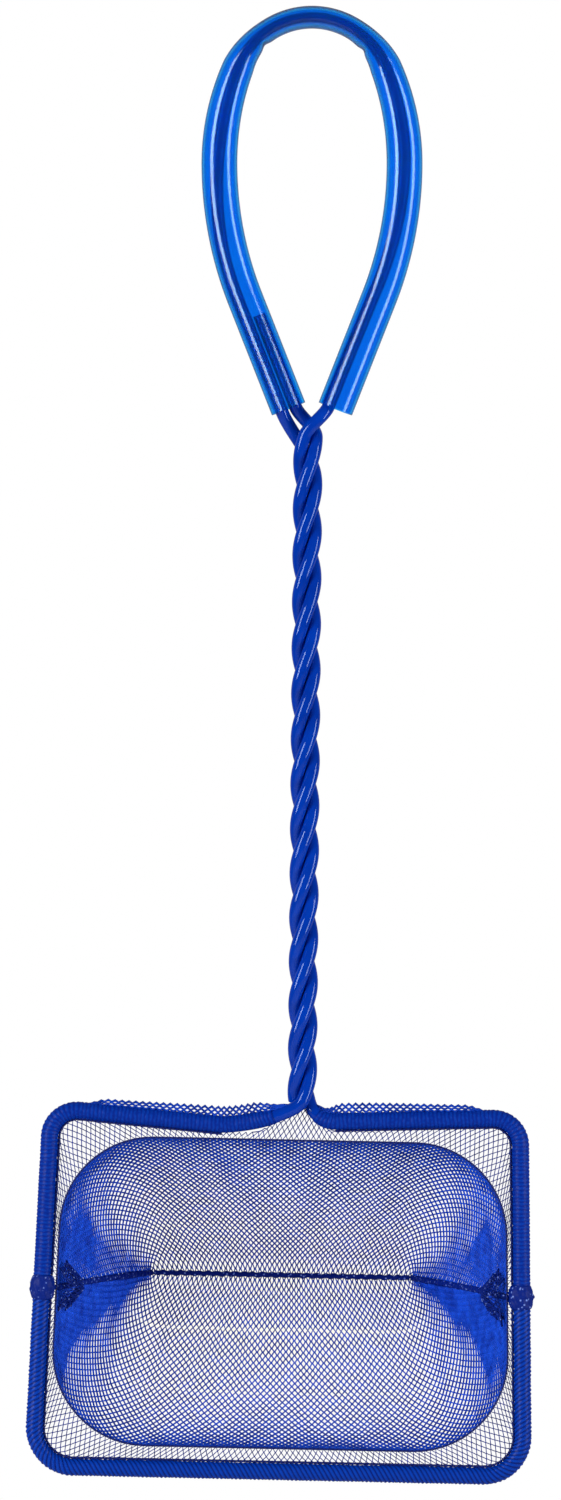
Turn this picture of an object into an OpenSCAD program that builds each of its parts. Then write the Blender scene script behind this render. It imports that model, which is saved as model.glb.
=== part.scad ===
// Aquarium fish net: one vinyl coated wire bent into a hanging loop, a three-strand twisted
// handle and a rectangular hoop, with a sleeved grip and a two-panel net bag sewn to the hoop.
// The net hangs upright. +X is to its right, +Z is up, the bag is behind the hoop at +Y, and
// the origin is the inside of the loop's top, where a peg carries the net.

/* [Wire] */
// Outside diameter of the vinyl coated wire
wire_d = 2.7; // [2:0.05:3.2]
// Diameter of the steel core inside the coat
core_d = 1.8; // [1:0.05:1.9]
// Gap between the core and the bore of its coat
core_gap = 0.08; // [0.05:0.01:0.15]

/* [Handle] */
// Height of the twisted part of the handle
twist_h = 135; // [90:1:220]
// Whole turns that each strand makes over the twist
twist_turns = 4.91; // [3:0.01:7]
// Share by which the lay tightens towards the foot
lay_ease_share = 0.05; // [0:0.01:0.15]
// Angle of the second strand at the top of the twist
second_strand_turn = 241.4; // [0:0.1:360]
// Clear gap between two strands that lie together
strand_gap = 0.1; // [0.08:0.01:0.2]
// Sideways lean of the handle from its top to its foot
handle_lean = 1.2; // [0:0.1:6]
// Height of the open crossing between the twist and the grip sleeve
cross_h = 5.8; // [5.4:0.1:8]
// Height over which the third strand eases out of the lay
third_ease_h = 7.5; // [6:0.1:10]

/* [Loop] */
// Widest distance across the loop, between the middles of its sides
loop_w = 37.7; // [34:0.1:60]
// Radius of the loop's top bend
loop_top_r = 16.2; // [12:0.1:16.6]
// Radius of the loop's shoulders
shoulder_r = 52; // [30:1:90]
// Radius of the loop's long sides
side_r = 75; // [50:1:100]
// Slope of the loop's straight legs, from upright
leg_slope = 21.5; // [15:0.1:24]
// Length of the straight leg above the sleeve's end
leg_len = 24.2; // [24:0.1:27]
// How far the twist's top lies to the left of the loop's middle
twist_shift = 0.8; // [0:0.1:1]

/* [Grip sleeve] */
// Outside diameter of the vinyl grip sleeve
sleeve_d = 7.3; // [7:0.05:9]
// Wall of the sleeve
sleeve_wall = 0.5; // [0.3:0.05:0.6]
// Thickness of the sleeve where the top bend has flattened it
sleeve_top_t = 4.6; // [4.4:0.1:6.4]
// Share of the lost thickness that the flattened sleeve gains in width
spread_share = 0.8; // [0.6:0.05:0.9]
// Length of spare wire that ends inside the left leg
tail_len = 20; // [8:0.5:23]

/* [Hoop] */
// Width of the hoop at its foot, between wire middles
hoop_w = 99.6; // [70:0.1:150]
// Width of the hoop at its top, between wire middles
hoop_top_w = 95.2; // [66:0.1:146]
// Height of the hoop between wire middles
hoop_h = 72.7; // [55:0.1:120]
// How far the hoop's middle lies to the left of the handle's foot
hoop_shift = 3.3; // [0:0.1:8]
// Turn of the hoop about the handle's foot
hoop_tilt = 1.25; // [0:0.05:4]
// Bend radius of the two top corners
top_corner_r = 5.4; // [4:0.1:9]
// Bend radius of the two bottom corners
bottom_corner_r = 7.8; // [4:0.1:14]
// How far the top corners lie below the handle's foot
corner_drop = 2.8; // [2:0.1:4]
// Width from the handle's foot to the top wire's low point on the left
left_neck_w = 16.2; // [12:0.1:24]
// Height of the handle's foot above the low point on the left
left_neck_h = 5.4; // [5:0.1:8]
// Width from the handle's foot to the top wire's low point on the right
right_neck_w = 6.8; // [6:0.1:14]
// Height of the handle's foot above the low point on the right
right_neck_h = 4.3; // [4:0.1:7]

/* [Net bag] */
// Depth of the bag behind the hoop
bag_depth = 60; // [40:1:110]
// Thickness of the soft solid that stands for the net
net_t = 0.7; // [0.5:0.05:1]
// Height of the bag where its closed end begins
end_h = 10.6; // [8:0.1:30]
// Width of the bag where its closed end begins
end_w = 59; // [30:0.5:78]
// Roundness of the bag's taper, where 1 makes its walls straight
taper_power = 1.5; // [1:0.05:2]
// Width of the flat brim beside the hoop, between hem and mouth
brim_side_w = 0.95; // [0.8:0.05:6]
// Least width of the brim below the top wire
brim_top_w = 1; // [0.8:0.05:6]
// Width of the brim above the bottom wire
brim_bottom_w = 2; // [0.8:0.05:8]
// Radius of the bag's corners at its mouth
mouth_corner_r = 19; // [8:0.5:22]
// Height of the sewn seam ridge on the inside of the bag
seam_rise = 0.8; // [0.4:0.05:1.2]
// Width of the sewn seam ridge
seam_w = 1.8; // [1:0.1:4]
// Clear gap between two bands of the bag that pass through each other
band_gap = 0.3; // [0.25:0.01:0.5]
// Length over which two bands of the bag overlap
band_lap = 1.5; // [0.5:0.1:4]

/* [Hem] */
// Outside diameter of the hem that wraps the wire
hem_d = 3.9; // [3.7:0.05:5]
// Gap between the hem and the coated wire
hem_gap = 0.06; // [0.04:0.01:0.15]
// Diameter of the sewing thread along the hem
thread_d = 0.5; // [0.3:0.05:0.8]
// Length of the bunched net where a side seam meets the hem
gather_len = 4; // [2:0.1:8]
// Wall of the bunched net round the hem
gather_wall = 0.45; // [0.3:0.05:0.6]

/* [Hidden] */

// Colours
coat_blue = "#0a35c4";
sleeve_blue = "#1478ee";
hem_blue = "#0a2fa5";
net_blue = "#5c6cc8";
seam_blue = "#12207a";
core_grey = "#9aa0a8";

// Counts of faces and of steps along a bend
coat_sides = 8;
core_sides = 6;
hem_sides = 10;
sleeve_sides = 12;
rings_per_turn = 10;
bend_steps = 6;
neck_steps = 6;
third_neck_steps = 8;
leg_steps = 2;
side_steps = 5;
shoulder_steps = 4;
crown_steps = 7;
round_sides = 48;

// Small gap that keeps sewn and laid pieces from cutting into each other
lay_gap = 0.05;
// Overrun of every cut, and of the one cut that follows a sloping wall
cut = 1;
slope_cut = 0.001;

wire_r = wire_d / 2;
core_r = core_d / 2;
bore_r = core_r + core_gap;
hem_r = hem_d / 2;
sleeve_r = sleeve_d / 2;
sleeve_bore_r = sleeve_r - sleeve_wall;

// Strand middles keep a strand and its gap apart; the lay brings them closer, so the radius
// grows with the square of radius over lay length.
lay_len = twist_h * (1 - lay_ease_share) / twist_turns;
straight_lay_r = (wire_d + strand_gap) / sqrt(3);
lay_growth_share = 6.4;
lay_r = straight_lay_r * (1 + lay_growth_share * pow(straight_lay_r / lay_len, 2));

// Loop centre line. The origin is under the flattened sleeve at the loop's top.
loop_top_z = sleeve_top_t / 2;
shoulder_turn = acos((shoulder_r - loop_w / 2) / (shoulder_r - loop_top_r));
loop_wide_z = loop_top_z - loop_top_r - (shoulder_r - loop_top_r) * sin(shoulder_turn);
leg_top_x = loop_w / 2 - side_r * (1 - cos(leg_slope));
leg_top_z = loop_wide_z - side_r * sin(leg_slope);
leg_end_x = leg_top_x - leg_len * sin(leg_slope);
leg_end_z = leg_top_z - leg_len * cos(leg_slope);

// The twist and the foot of the handle
twist_top = [-twist_shift, 0, leg_end_z - cross_h];
foot = [twist_top.x - handle_lean, 0, twist_top.z - twist_h];

// Offsets of the wires inside the sleeve, across the loop and front to back
wire_rest_share = 0.04;
side_by_side = wire_r + wire_rest_share * wire_d;
sleeve_spare = sleeve_bore_r * cos(180 / sleeve_sides) - wire_r - lay_gap;
back_offset = sqrt(pow(sleeve_spare, 2) - pow(side_by_side, 2));

function unit(v) = v / norm(v);
function mix(a, b, t) = a + (b - a) * t;
function ease(t) = let(c = max(0, min(1, t))) c * c * (3 - 2 * c);
function bezier(p, steps) = [
    for (i = [0:steps]) let(t = i / steps, s = 1 - t)
        s * s * s * p[0] + 3 * s * s * t * p[1] + 3 * s * t * t * p[2] + t * t * t * p[3]
];
function tail_of(list, start) = [for (i = [start:len(list) - 1]) list[i]];
function turned(list) = [for (i = [len(list) - 1:-1:0]) list[i]];

// The hoop has its own frame, turned about the handle's foot.
function from_hoop(p) = foot + [
    p.x * cos(hoop_tilt) + p.z * sin(hoop_tilt), p.y,
    p.z * cos(hoop_tilt) - p.x * sin(hoop_tilt)
];
module in_hoop() {
    translate(foot) rotate([0, hoop_tilt, 0]) children();
}

// Points of a round bend at corner b between a and c, in the plane of the hoop
function bend(a, b, c, r, steps) = let(
    u = unit(a - b),
    v = unit(c - b),
    half = acos(u * v) / 2,
    middle = b + unit(u + v) * r / sin(half),
    first = b + u * r / tan(half) - middle,
    last = b + v * r / tan(half) - middle,
    from = atan2(first.y, first.x),
    sweep = atan2(first.x * last.y - first.y * last.x, first * last)
) [for (i = [0:steps]) middle + r * [cos(from + sweep * i / steps), sin(from + sweep * i / steps)]];

// Closed outline with rounded corners
function rounded(corners, radii, steps) = let(n = len(corners)) [
    for (i = [0:n - 1])
        each bend(corners[(i + n - 1) % n], corners[i], corners[(i + 1) % n], radii[i], steps)
];

// Helix of one strand: share 0 is the twist's top and share 1 is its foot.
function strand_turn(share, first) =
    first - 360 * twist_turns * (share - lay_ease_share * share * (1 - share));
function strand_point(share, first) = mix(twist_top, foot, share)
    + lay_r * [cos(strand_turn(share, first)), sin(strand_turn(share, first)), 0];
share_step = 0.001;
function strand_up(share, first) = unit(
    strand_point(share - share_step, first) - strand_point(share + share_step, first));
twist_rings = ceil(twist_turns * rings_per_turn);
function strand(first, start_share) = [
    for (i = [0:twist_rings]) let(share = mix(start_share, 1, i / twist_rings))
        strand_point(share, first)
];

// Strand angles at the twist's top
first_turn = second_strand_turn + 120;
third_turn = second_strand_turn + 240;

// One side of the loop as [point, outward direction, share of flattening], from the sleeve's
// end up to the middle of the top bend. The top bend flattens the sleeve within an angle.
flattening_angle = 60;
function loop_place(middle, r, angle) = [
    middle + r * [cos(angle), 0, sin(angle)], [cos(angle), 0, sin(angle)],
    middle.x == 0 ? ease(angle / flattening_angle) : 0
];
leg_out = [cos(leg_slope), 0, -sin(leg_slope)];
loop_half = concat(
    [for (i = [0:leg_steps]) [
        mix([leg_end_x, 0, leg_end_z], [leg_top_x, 0, leg_top_z], i / leg_steps), leg_out, 0]],
    [for (i = [1:side_steps])
        loop_place([loop_w / 2 - side_r, 0, loop_wide_z], side_r,
            leg_slope * (i / side_steps - 1))],
    [for (i = [1:shoulder_steps])
        loop_place([loop_w / 2 - shoulder_r, 0, loop_wide_z], shoulder_r,
            shoulder_turn * i / shoulder_steps)],
    [for (i = [1:crown_steps])
        loop_place([0, 0, loop_top_z - loop_top_r], loop_top_r,
            mix(shoulder_turn, 90, i / crown_steps))]
);
function across(place) = [
    [-place[0].x, 0, place[0].z], [-place[1].x, 0, place[1].z], place[2]];
loop_places = concat(loop_half, [for (p = tail_of(turned(loop_half), 1)) across(p)]);
loop_count = len(loop_places);

// The loop's wire starts inside at the right end, runs in the middle over the top and ends
// outside at the left end, where the spare wire lies beside it.
right_side_steps = 8;
right_back_steps = 4;
beside_steps = leg_steps + 1;
left_side_steps = beside_steps + 6;
function loop_side(i) = let(from_left = loop_count - 1 - i)
    i < right_side_steps ? -side_by_side * (1 - ease(i / right_side_steps))
    : from_left < left_side_steps
        ? side_by_side * (1 - ease((from_left - beside_steps) / (left_side_steps - beside_steps)))
    : 0;
loop_wire_points = [for (i = [0:loop_count - 1])
    loop_places[i][0] + loop_side(i) * loop_places[i][1]
    - back_offset * (1 - ease(i / right_back_steps)) * [0, 1, 0]
];

// Spare wire in the left leg, from its cut end down to the sleeve's end
left_end = loop_places[loop_count - 1];
leg_up = [-sin(leg_slope), 0, cos(leg_slope)];
spare_foot = left_end[0] - side_by_side * left_end[1] + back_offset * [0, 1, 0];
spare_points = [spare_foot + leg_up * tail_len, spare_foot + leg_up * tail_len / 2, spare_foot];

// Strands between the sleeve's ends and the twist. First behind, second in front.
reach_share = 0.4;
swell_share = 1.2;
reach = cross_h * reach_share;
swell = lay_r * swell_share;
first_top = bezier([
    spare_foot,
    spare_foot - leg_up * reach + (swell - spare_foot.y) * [0, 1, 0],
    strand_point(0, first_turn) + strand_up(0, first_turn) * reach + swell * [0, 1, 0],
    strand_point(0, first_turn)
], neck_steps);
right_foot = loop_wire_points[0];
leg_down_right = [-sin(leg_slope), 0, -cos(leg_slope)];
second_top = bezier([
    strand_point(0, second_strand_turn),
    strand_point(0, second_strand_turn) + strand_up(0, second_strand_turn) * reach,
    right_foot + leg_down_right * reach - swell * [0, 1, 0],
    right_foot
], neck_steps);
third_share = third_ease_h / twist_h;
left_foot = loop_wire_points[loop_count - 1];
third_reach = (cross_h + third_ease_h) / 3;
third_high_swell_share = 1.56;
third_low_swell_share = 0.36;
third_top = bezier([
    left_foot,
    left_foot - leg_up * third_reach + lay_r * third_high_swell_share * [0, 1, 0],
    strand_point(third_share, third_turn) + strand_up(third_share, third_turn) * third_reach
        + lay_r * third_low_swell_share * [0, 1, 0],
    strand_point(third_share, third_turn)
], third_neck_steps);

// Necks from the twist's foot to the low points of the hoop's top wire
left_low = from_hoop([-left_neck_w, 0, -left_neck_h]);
right_low = from_hoop([right_neck_w, 0, -right_neck_h]);
neck_reach_share = 0.43;
right_fall_share = 0.55;
left_fall_share = 0.42;
right_fall = right_neck_h * right_fall_share;
left_fall = left_neck_h * left_fall_share;
first_neck = bezier([
    strand_point(1, first_turn),
    strand_point(1, first_turn) - strand_up(1, first_turn) * right_fall,
    right_low - right_neck_w * neck_reach_share * [1, 0, 0],
    right_low
], neck_steps);
second_neck = bezier([
    left_low,
    left_low + left_neck_w * neck_reach_share * [1, 0, 0],
    strand_point(1, second_strand_turn) - strand_up(1, second_strand_turn) * left_fall,
    strand_point(1, second_strand_turn)
], neck_steps);

// Corners of the hoop's wire in the hoop's plane, drawn in by an inset. The sides splay.
top_z = -corner_drop;
bottom_z = -corner_drop - hoop_h;
seam_z = -corner_drop - hoop_h / 2;
side_splay = atan2((hoop_w - hoop_top_w) / 2, hoop_h);
function reach_at(z, inset) =
    hoop_top_w / 2 + (top_z - z) * tan(side_splay) - inset / cos(side_splay);
function on_left(z, inset) = [-hoop_shift - reach_at(z, inset), z];
function on_right(z, inset) = [-hoop_shift + reach_at(z, inset), z];
function top_left(inset) = on_left(top_z - inset, inset);
function top_right(inset) = on_right(top_z - inset, inset);
function bottom_left(inset) = on_left(bottom_z + inset, inset);
function bottom_right(inset) = on_right(bottom_z + inset, inset);
right_middle = on_right(seam_z, 0);
left_middle = on_left(seam_z, 0);
hoop_2d = concat(
    bend([right_neck_w, -right_neck_h], top_right(0), bottom_right(0), top_corner_r, bend_steps),
    [right_middle],
    bend(top_right(0), bottom_right(0), bottom_left(0), bottom_corner_r, bend_steps),
    bend(bottom_right(0), bottom_left(0), top_left(0), bottom_corner_r, bend_steps),
    [left_middle],
    bend(bottom_left(0), top_left(0), [-left_neck_w, -left_neck_h], top_corner_r, bend_steps)
);
hoop_points = [for (p = hoop_2d) from_hoop([p.x, 0, p.y])];

// The whole wire as one line, and the places where its named runs begin
spare_start = 0;
first_start = len(spare_points) - 1;
first_strand_points = concat(
    tail_of(first_top, 1), tail_of(strand(first_turn, 0), 1), tail_of(first_neck, 1));
hoop_start = first_start + len(first_strand_points);
corner_count = bend_steps + 1;
right_side_start = hoop_start + corner_count;
right_seam = right_side_start + 1;
bottom_start = right_seam + 1;
left_side_start = bottom_start + 2 * corner_count - 1;
left_seam = left_side_start + 1;
top_left_start = left_seam + 1;
second_start = top_left_start + corner_count;
second_strand_points = concat(
    tail_of(second_neck, 1), tail_of(turned(strand(second_strand_turn, 0)), 1),
    tail_of(second_top, 1));
loop_start = second_start + len(second_strand_points);
third_start = loop_start + loop_count - 1;
third_strand_points = concat(tail_of(third_top, 1), tail_of(strand(third_turn, third_share), 1));
wire_line = concat(
    spare_points, first_strand_points, hoop_points, [left_low], second_strand_points,
    tail_of(loop_wire_points, 1), third_strand_points);
wire_end = len(wire_line) - 1;

// Each place on a line gets two directions square to it; the first keeps closest to +Y.
function along(line, i) = unit(line[min(i + 1, len(line) - 1)] - line[max(i - 1, 0)]);
function places(line) = [for (i = [0:len(line) - 1]) let(
    t = along(line, i), back = unit([0, 1, 0] - t.y * t)) [line[i], back, cross(t, back)]];
wire_places = places(wire_line);

function ring(place, r, sides) = [for (k = [0:sides - 1])
    place[0] + r * (cos(360 * k / sides) * place[1] + sin(360 * k / sides) * place[2])];
function skin(rings, sides, base, inward) = [
    for (i = [0:rings - 2]) for (k = [0:sides - 1]) let(
        a = base + i * sides + k, b = base + i * sides + (k + 1) % sides,
        quad = [a, b, b + sides, a + sides])
        each inward
            ? [[quad[0], quad[1], quad[2]], [quad[0], quad[2], quad[3]]]
            : [[quad[2], quad[1], quad[0]], [quad[3], quad[2], quad[0]]]
];

// Solid rod along places [from:to]
module rod(line_places, from, to, d, sides) {
    rings = to - from + 1;
    points = [for (i = [from:to]) each ring(line_places[i], d / 2, sides)];
    start = [for (k = [0:sides - 1]) k];
    end = [for (k = [sides - 1:-1:0]) (rings - 1) * sides + k];
    polyhedron(points, concat([start], skin(rings, sides, 0, false), [end]), convexity = 10);
}

// Tube between two lists of rings that have the same number of points
module tube_of_rings(outer, inner, sides) {
    rings = len(outer);
    base = rings * sides;
    last = (rings - 1) * sides;
    ends = [for (k = [0:sides - 1]) let(n = (k + 1) % sides) each [
        [k, n, base + n], [k, base + n, base + k],
        [last + n, last + k, base + last + k], [last + n, base + last + k, base + last + n]
    ]];
    polyhedron(
        concat([for (r = outer) each r], [for (r = inner) each r]),
        concat(skin(rings, sides, 0, false), skin(rings, sides, base, true), ends),
        convexity = 10);
}

// Tube along places [from:to]
module tube(line_places, from, to, d, bore, sides) {
    tube_of_rings(
        [for (i = [from:to]) ring(line_places[i], d / 2, sides)],
        [for (i = [from:to]) ring(line_places[i], bore / 2, sides)], sides);
}

module coat(from, to) {
    color(coat_blue) tube(wire_places, from, to, wire_d, 2 * bore_r, coat_sides);
}

module steel_core() {
    color(core_grey) rod(wire_places, 0, wire_end, core_d, core_sides);
}
module spare_wire_end() { coat(spare_start, first_start); }
module first_strand() { coat(first_start, hoop_start - 1); }
module hoop_wire_top_right() { coat(hoop_start - 1, right_side_start - 1); }
module hoop_wire_right() { coat(right_side_start - 1, bottom_start); }
module hoop_wire_bottom() { coat(bottom_start, left_side_start); }
module hoop_wire_left() { coat(left_side_start, top_left_start); }
module hoop_wire_top_left() { coat(top_left_start, second_start); }
module second_strand() { coat(second_start, loop_start); }
module loop_wire() { coat(loop_start, third_start); }
module third_strand() { coat(third_start, wire_end); }

// The sleeve is round along its legs and flat over the top bend.
function sleeve_ring(place, shrink) = let(
    lost = (sleeve_d - sleeve_top_t) * place[2],
    half_t = (sleeve_d - lost) / 2 - shrink,
    half_w = (sleeve_d + lost * spread_share) / 2 - shrink
) [for (k = [0:sleeve_sides - 1]) let(a = 360 * (k + 0.5) / sleeve_sides)
    place[0] + half_t * cos(a) * place[1] + half_w * sin(a) * [0, 1, 0]];
module grip_sleeve() {
    color(sleeve_blue, 0.6) tube_of_rings(
        [for (p = turned(loop_places)) sleeve_ring(p, 0)],
        [for (p = turned(loop_places)) sleeve_ring(p, sleeve_wall)], sleeve_sides);
}

// Hem, folded over the wire and sewn. The upper panel's hem also runs up both necks.
hem_bore_d = (wire_d + 2 * hem_gap) / cos(180 / hem_sides);
neck_hem_share = 0.6;
neck_hem_steps = floor(neck_steps * neck_hem_share);
module hem(from, to) {
    color(hem_blue) tube(wire_places, from, to, hem_d, hem_bore_d, hem_sides);
}
module upper_hem_left() { hem(left_seam, second_start + neck_hem_steps); }
module upper_hem_right() { hem(hoop_start - 1 - neck_hem_steps, right_seam); }
module lower_hem() { hem(right_seam, left_seam); }

// Sewing thread along the inner side of the hem, in front of the net
thread_inset = hem_r + lay_gap + thread_d / 2;
thread_sides = 6;
gather_half = gather_len / 2;
thread_corner_r = top_corner_r - thread_inset;
function thread_line(points) = places([for (p = points) from_hoop([p.x, 0, p.y])]);
module thread(points) {
    line = thread_line(points);
    color(seam_blue) rod(line, 0, len(line) - 1, thread_d, thread_sides);
}
thread_above = seam_z + gather_half + thread_d;
thread_below = seam_z - gather_half - thread_d;
module upper_hem_thread_left() {
    t = thread_inset;
    thread(concat(
        [on_left(thread_above, t)],
        bend(bottom_left(t), top_left(t), [-left_neck_w, -left_neck_h - t], thread_corner_r,
            bend_steps),
        [[-left_neck_w, -left_neck_h - t]]));
}
module upper_hem_thread_right() {
    t = thread_inset;
    thread(concat(
        [[right_neck_w, -right_neck_h - t]],
        bend([right_neck_w, -right_neck_h - t], top_right(t), bottom_right(t), thread_corner_r,
            bend_steps),
        [on_right(thread_above, t)]));
}
module lower_hem_thread() {
    t = thread_inset;
    r = bottom_corner_r - t;
    thread(concat(
        [on_right(thread_below, t)],
        bend(top_right(t), bottom_right(t), bottom_left(t), r, bend_steps),
        bend(bottom_right(t), bottom_left(t), top_left(t), r, bend_steps),
        [on_left(thread_below, t)]));
}

// Bunched net round the hem where each side seam ends
gather_bore_r = hem_r + lay_gap;
module gather(middle, splay) {
    translate([middle.x, 0, middle.y]) rotate([0, splay, 0]) difference() {
        cylinder(h = gather_len, r = gather_bore_r + gather_wall, center = true,
            $fn = round_sides);
        cylinder(h = gather_len + cut, r = gather_bore_r, center = true, $fn = round_sides);
    }
}
module seam_gathers() {
    color(seam_blue) in_hoop() {
        gather(left_middle, side_splay);
        gather(right_middle, -side_splay);
    }
}

// Net bag. Every band is a wall between two outlines in the hoop's plane, cut in two at the
// side seams; each band fits through the one before it when the bag is turned inside out.
brim_inset = thread_inset + thread_d / 2 + lay_gap;
mouth_side = brim_inset + brim_side_w;
mouth_top_z = -left_neck_h - brim_inset - brim_top_w;
mouth_bottom = brim_inset + brim_bottom_w;
corner_steps = 7;

// Outline of a band at a share of the bag's taper. Each band is also one step inside the one
// before it, so that it passes through when the bag is turned inside out.
band_count = 3;
step_side = net_t + seam_rise + band_gap;
step_face = net_t + band_gap;
end_corner_r = 3;
least_corner_r = 0.6;
upper_fall = mouth_top_z - step_face * band_count - band_gap - (seam_z + end_h / 2);
lower_rise = seam_z - end_h / 2 - (bottom_z + mouth_bottom + step_face * band_count + band_gap);
last_reach = reach_at(seam_z, mouth_side + step_side * band_count + band_gap);
side_draw = max(0, last_reach - end_w / 2);
function corners(step, share, shrink) = let(
    side = mouth_side + step_side * step + side_draw * share + shrink,
    up = mouth_top_z - step_face * step - upper_fall * share - shrink,
    low = bottom_z + mouth_bottom + step_face * step + lower_rise * share + shrink
) [on_left(up, side), on_left(low, side), on_right(low, side), on_right(up, side)];
function outline(step, share, shrink) = let(
    r = max(least_corner_r, mix(mouth_corner_r, end_corner_r, share) - shrink)
) rounded(corners(step, share, shrink), [r, r, r, r], corner_steps);

module slab(points, front, back) {
    translate([0, back, 0]) rotate([90, 0, 0]) linear_extrude(back - front) polygon(points);
}
module upper_half() {
    intersection() {
        children();
        translate([-hoop_w, -bag_depth, seam_z]) cube([2 * hoop_w, 3 * bag_depth, hoop_h]);
    }
}
module lower_half() {
    intersection() {
        children();
        translate([-hoop_w, -bag_depth, seam_z - hoop_h])
            cube([2 * hoop_w, 3 * bag_depth, hoop_h]);
    }
}

// Flat brim in the hoop's plane, from the hem to the mouth
brim_front = -net_t / 2;
brim_back = net_t / 2;
brim_top_r = top_corner_r - brim_inset + wire_r;
brim_bottom_r = bottom_corner_r - brim_inset + wire_r;
brim_outline = rounded([
    top_left(brim_inset), bottom_left(brim_inset), bottom_right(brim_inset),
    top_right(brim_inset), [right_neck_w, -right_neck_h - brim_inset],
    [-left_neck_w, -left_neck_h - brim_inset]
], [brim_top_r, brim_bottom_r, brim_bottom_r, brim_top_r, right_neck_w, right_neck_w], bend_steps);
module brim() {
    color(net_blue) difference() {
        slab(brim_outline, brim_front, brim_back);
        slab(outline(0, 0, 0), brim_front - cut, brim_back + cut);
    }
}
module upper_brim() { in_hoop() upper_half() brim(); }
module lower_brim() { in_hoop() lower_half() brim(); }

// The open bands share the depth in front of the closed end, and each one tapers to the next.
end_share = 0.1;
end_front = bag_depth * (1 - end_share);
band_len = (end_front - brim_front) / band_count + band_lap;
function band_front(n) = brim_front + n * (band_len - band_lap);
function band_back(n) = band_front(n) + band_len;
function front_share(n) = pow(n / band_count, taper_power);
function share_at(n, y) =
    mix(front_share(n), front_share(n + 1), (y - band_front(n)) / (band_len - band_lap));
function back_share(n) = share_at(n, band_back(n));
skin_share = 0.05;
skin_t = net_t * skin_share;
module between(front_points, back_points, front, back) {
    hull() {
        slab(front_points, front, front + skin_t);
        slab(back_points, back - skin_t, back);
    }
}
module band_block(n, shrink, spare) {
    between(outline(n, front_share(n), band_gap + shrink),
        outline(n, back_share(n), band_gap + shrink), band_front(n) - spare, band_back(n) + spare);
}
module band(n) {
    color(net_blue) difference() {
        band_block(n, 0, 0);
        band_block(n, net_t, slope_cut);
    }
}
// Seam ridges along the inner side of a band, left and right
module ridge_end(upper, lower, inward, y) {
    middle = mix(upper, lower, (seam_z - upper.y) / (lower.y - upper.y));
    translate([middle.x, y, middle.y])
        rotate([0, atan2(upper.x - lower.x, upper.y - lower.y), 0])
            translate([min(inward, 0), 0, -seam_w / 2]) cube([abs(inward), skin_t, seam_w]);
}
module band_ridges(n) {
    front_wall = corners(n, front_share(n), band_gap + net_t + lay_gap);
    back_wall = corners(n, back_share(n), band_gap + net_t + lay_gap);
    rise = seam_rise - lay_gap;
    color(seam_blue) in_hoop() {
        hull() {
            ridge_end(front_wall[0], front_wall[1], rise, band_front(n));
            ridge_end(back_wall[0], back_wall[1], rise, band_back(n) - skin_t);
        }
        hull() {
            ridge_end(front_wall[3], front_wall[2], -rise, band_front(n));
            ridge_end(back_wall[3], back_wall[2], -rise, band_back(n) - skin_t);
        }
    }
}
module upper_throat() { in_hoop() upper_half() band(0); }
module lower_throat() { in_hoop() lower_half() band(0); }
module throat_seams() { band_ridges(0); }
module upper_belly() { in_hoop() upper_half() band(1); }
module lower_belly() { in_hoop() lower_half() band(1); }
module belly_seams() { band_ridges(1); }
module upper_tail() { in_hoop() upper_half() band(2); }
module lower_tail() { in_hoop() lower_half() band(2); }
module tail_seams() { band_ridges(2); }

// Closed end of the bag: a collar that follows the last band, then a slope to a narrow floor
last_band = band_count - 1;
end_rim = end_front - band_lap;
collar_back = band_back(last_band);
collar_share = back_share(last_band);
collar_corners = corners(band_count, collar_share, band_gap);
floor_h = seam_w + 2 * net_t + 4 * lay_gap;
end_inset = (collar_corners[0].y - collar_corners[1].y - floor_h) / 2;
module end_block(shrink, front, back) {
    rim = outline(band_count, share_at(last_band, end_rim), band_gap + shrink);
    middle = outline(band_count, collar_share, band_gap + shrink);
    between(rim, middle, front, collar_back);
    between(middle, outline(band_count, collar_share, band_gap + shrink + end_inset),
        collar_back - skin_t, back);
}
module end_shell() {
    color(net_blue) difference() {
        end_block(0, end_rim, bag_depth);
        end_block(net_t, end_rim - slope_cut, bag_depth - net_t);
    }
}
module upper_end() { in_hoop() upper_half() end_shell(); }
module lower_end() { in_hoop() lower_half() end_shell(); }
module end_seam() {
    floor_edge = corners(band_count, collar_share, band_gap + net_t + end_inset + seam_rise);
    from = floor_edge[0].x;
    to = floor_edge[3].x;
    color(seam_blue) in_hoop()
        translate([from, bag_depth - net_t - lay_gap - seam_rise, seam_z - seam_w / 2])
            cube([to - from, seam_rise, seam_w]);
}

steel_core();
spare_wire_end();
first_strand();
second_strand();
third_strand();
loop_wire();
hoop_wire_top_left();
hoop_wire_left();
hoop_wire_bottom();
hoop_wire_right();
hoop_wire_top_right();
grip_sleeve();
upper_hem_left();
upper_hem_right();
lower_hem();
upper_hem_thread_left();
upper_hem_thread_right();
lower_hem_thread();
seam_gathers();
upper_brim();
lower_brim();
upper_throat();
lower_throat();
throat_seams();
upper_belly();
lower_belly();
belly_seams();
upper_tail();
lower_tail();
tail_seams();
upper_end();
lower_end();
end_seam();
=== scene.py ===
import math
from bisect import bisect_right

import bmesh
import bpy
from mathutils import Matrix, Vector, noise


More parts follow.
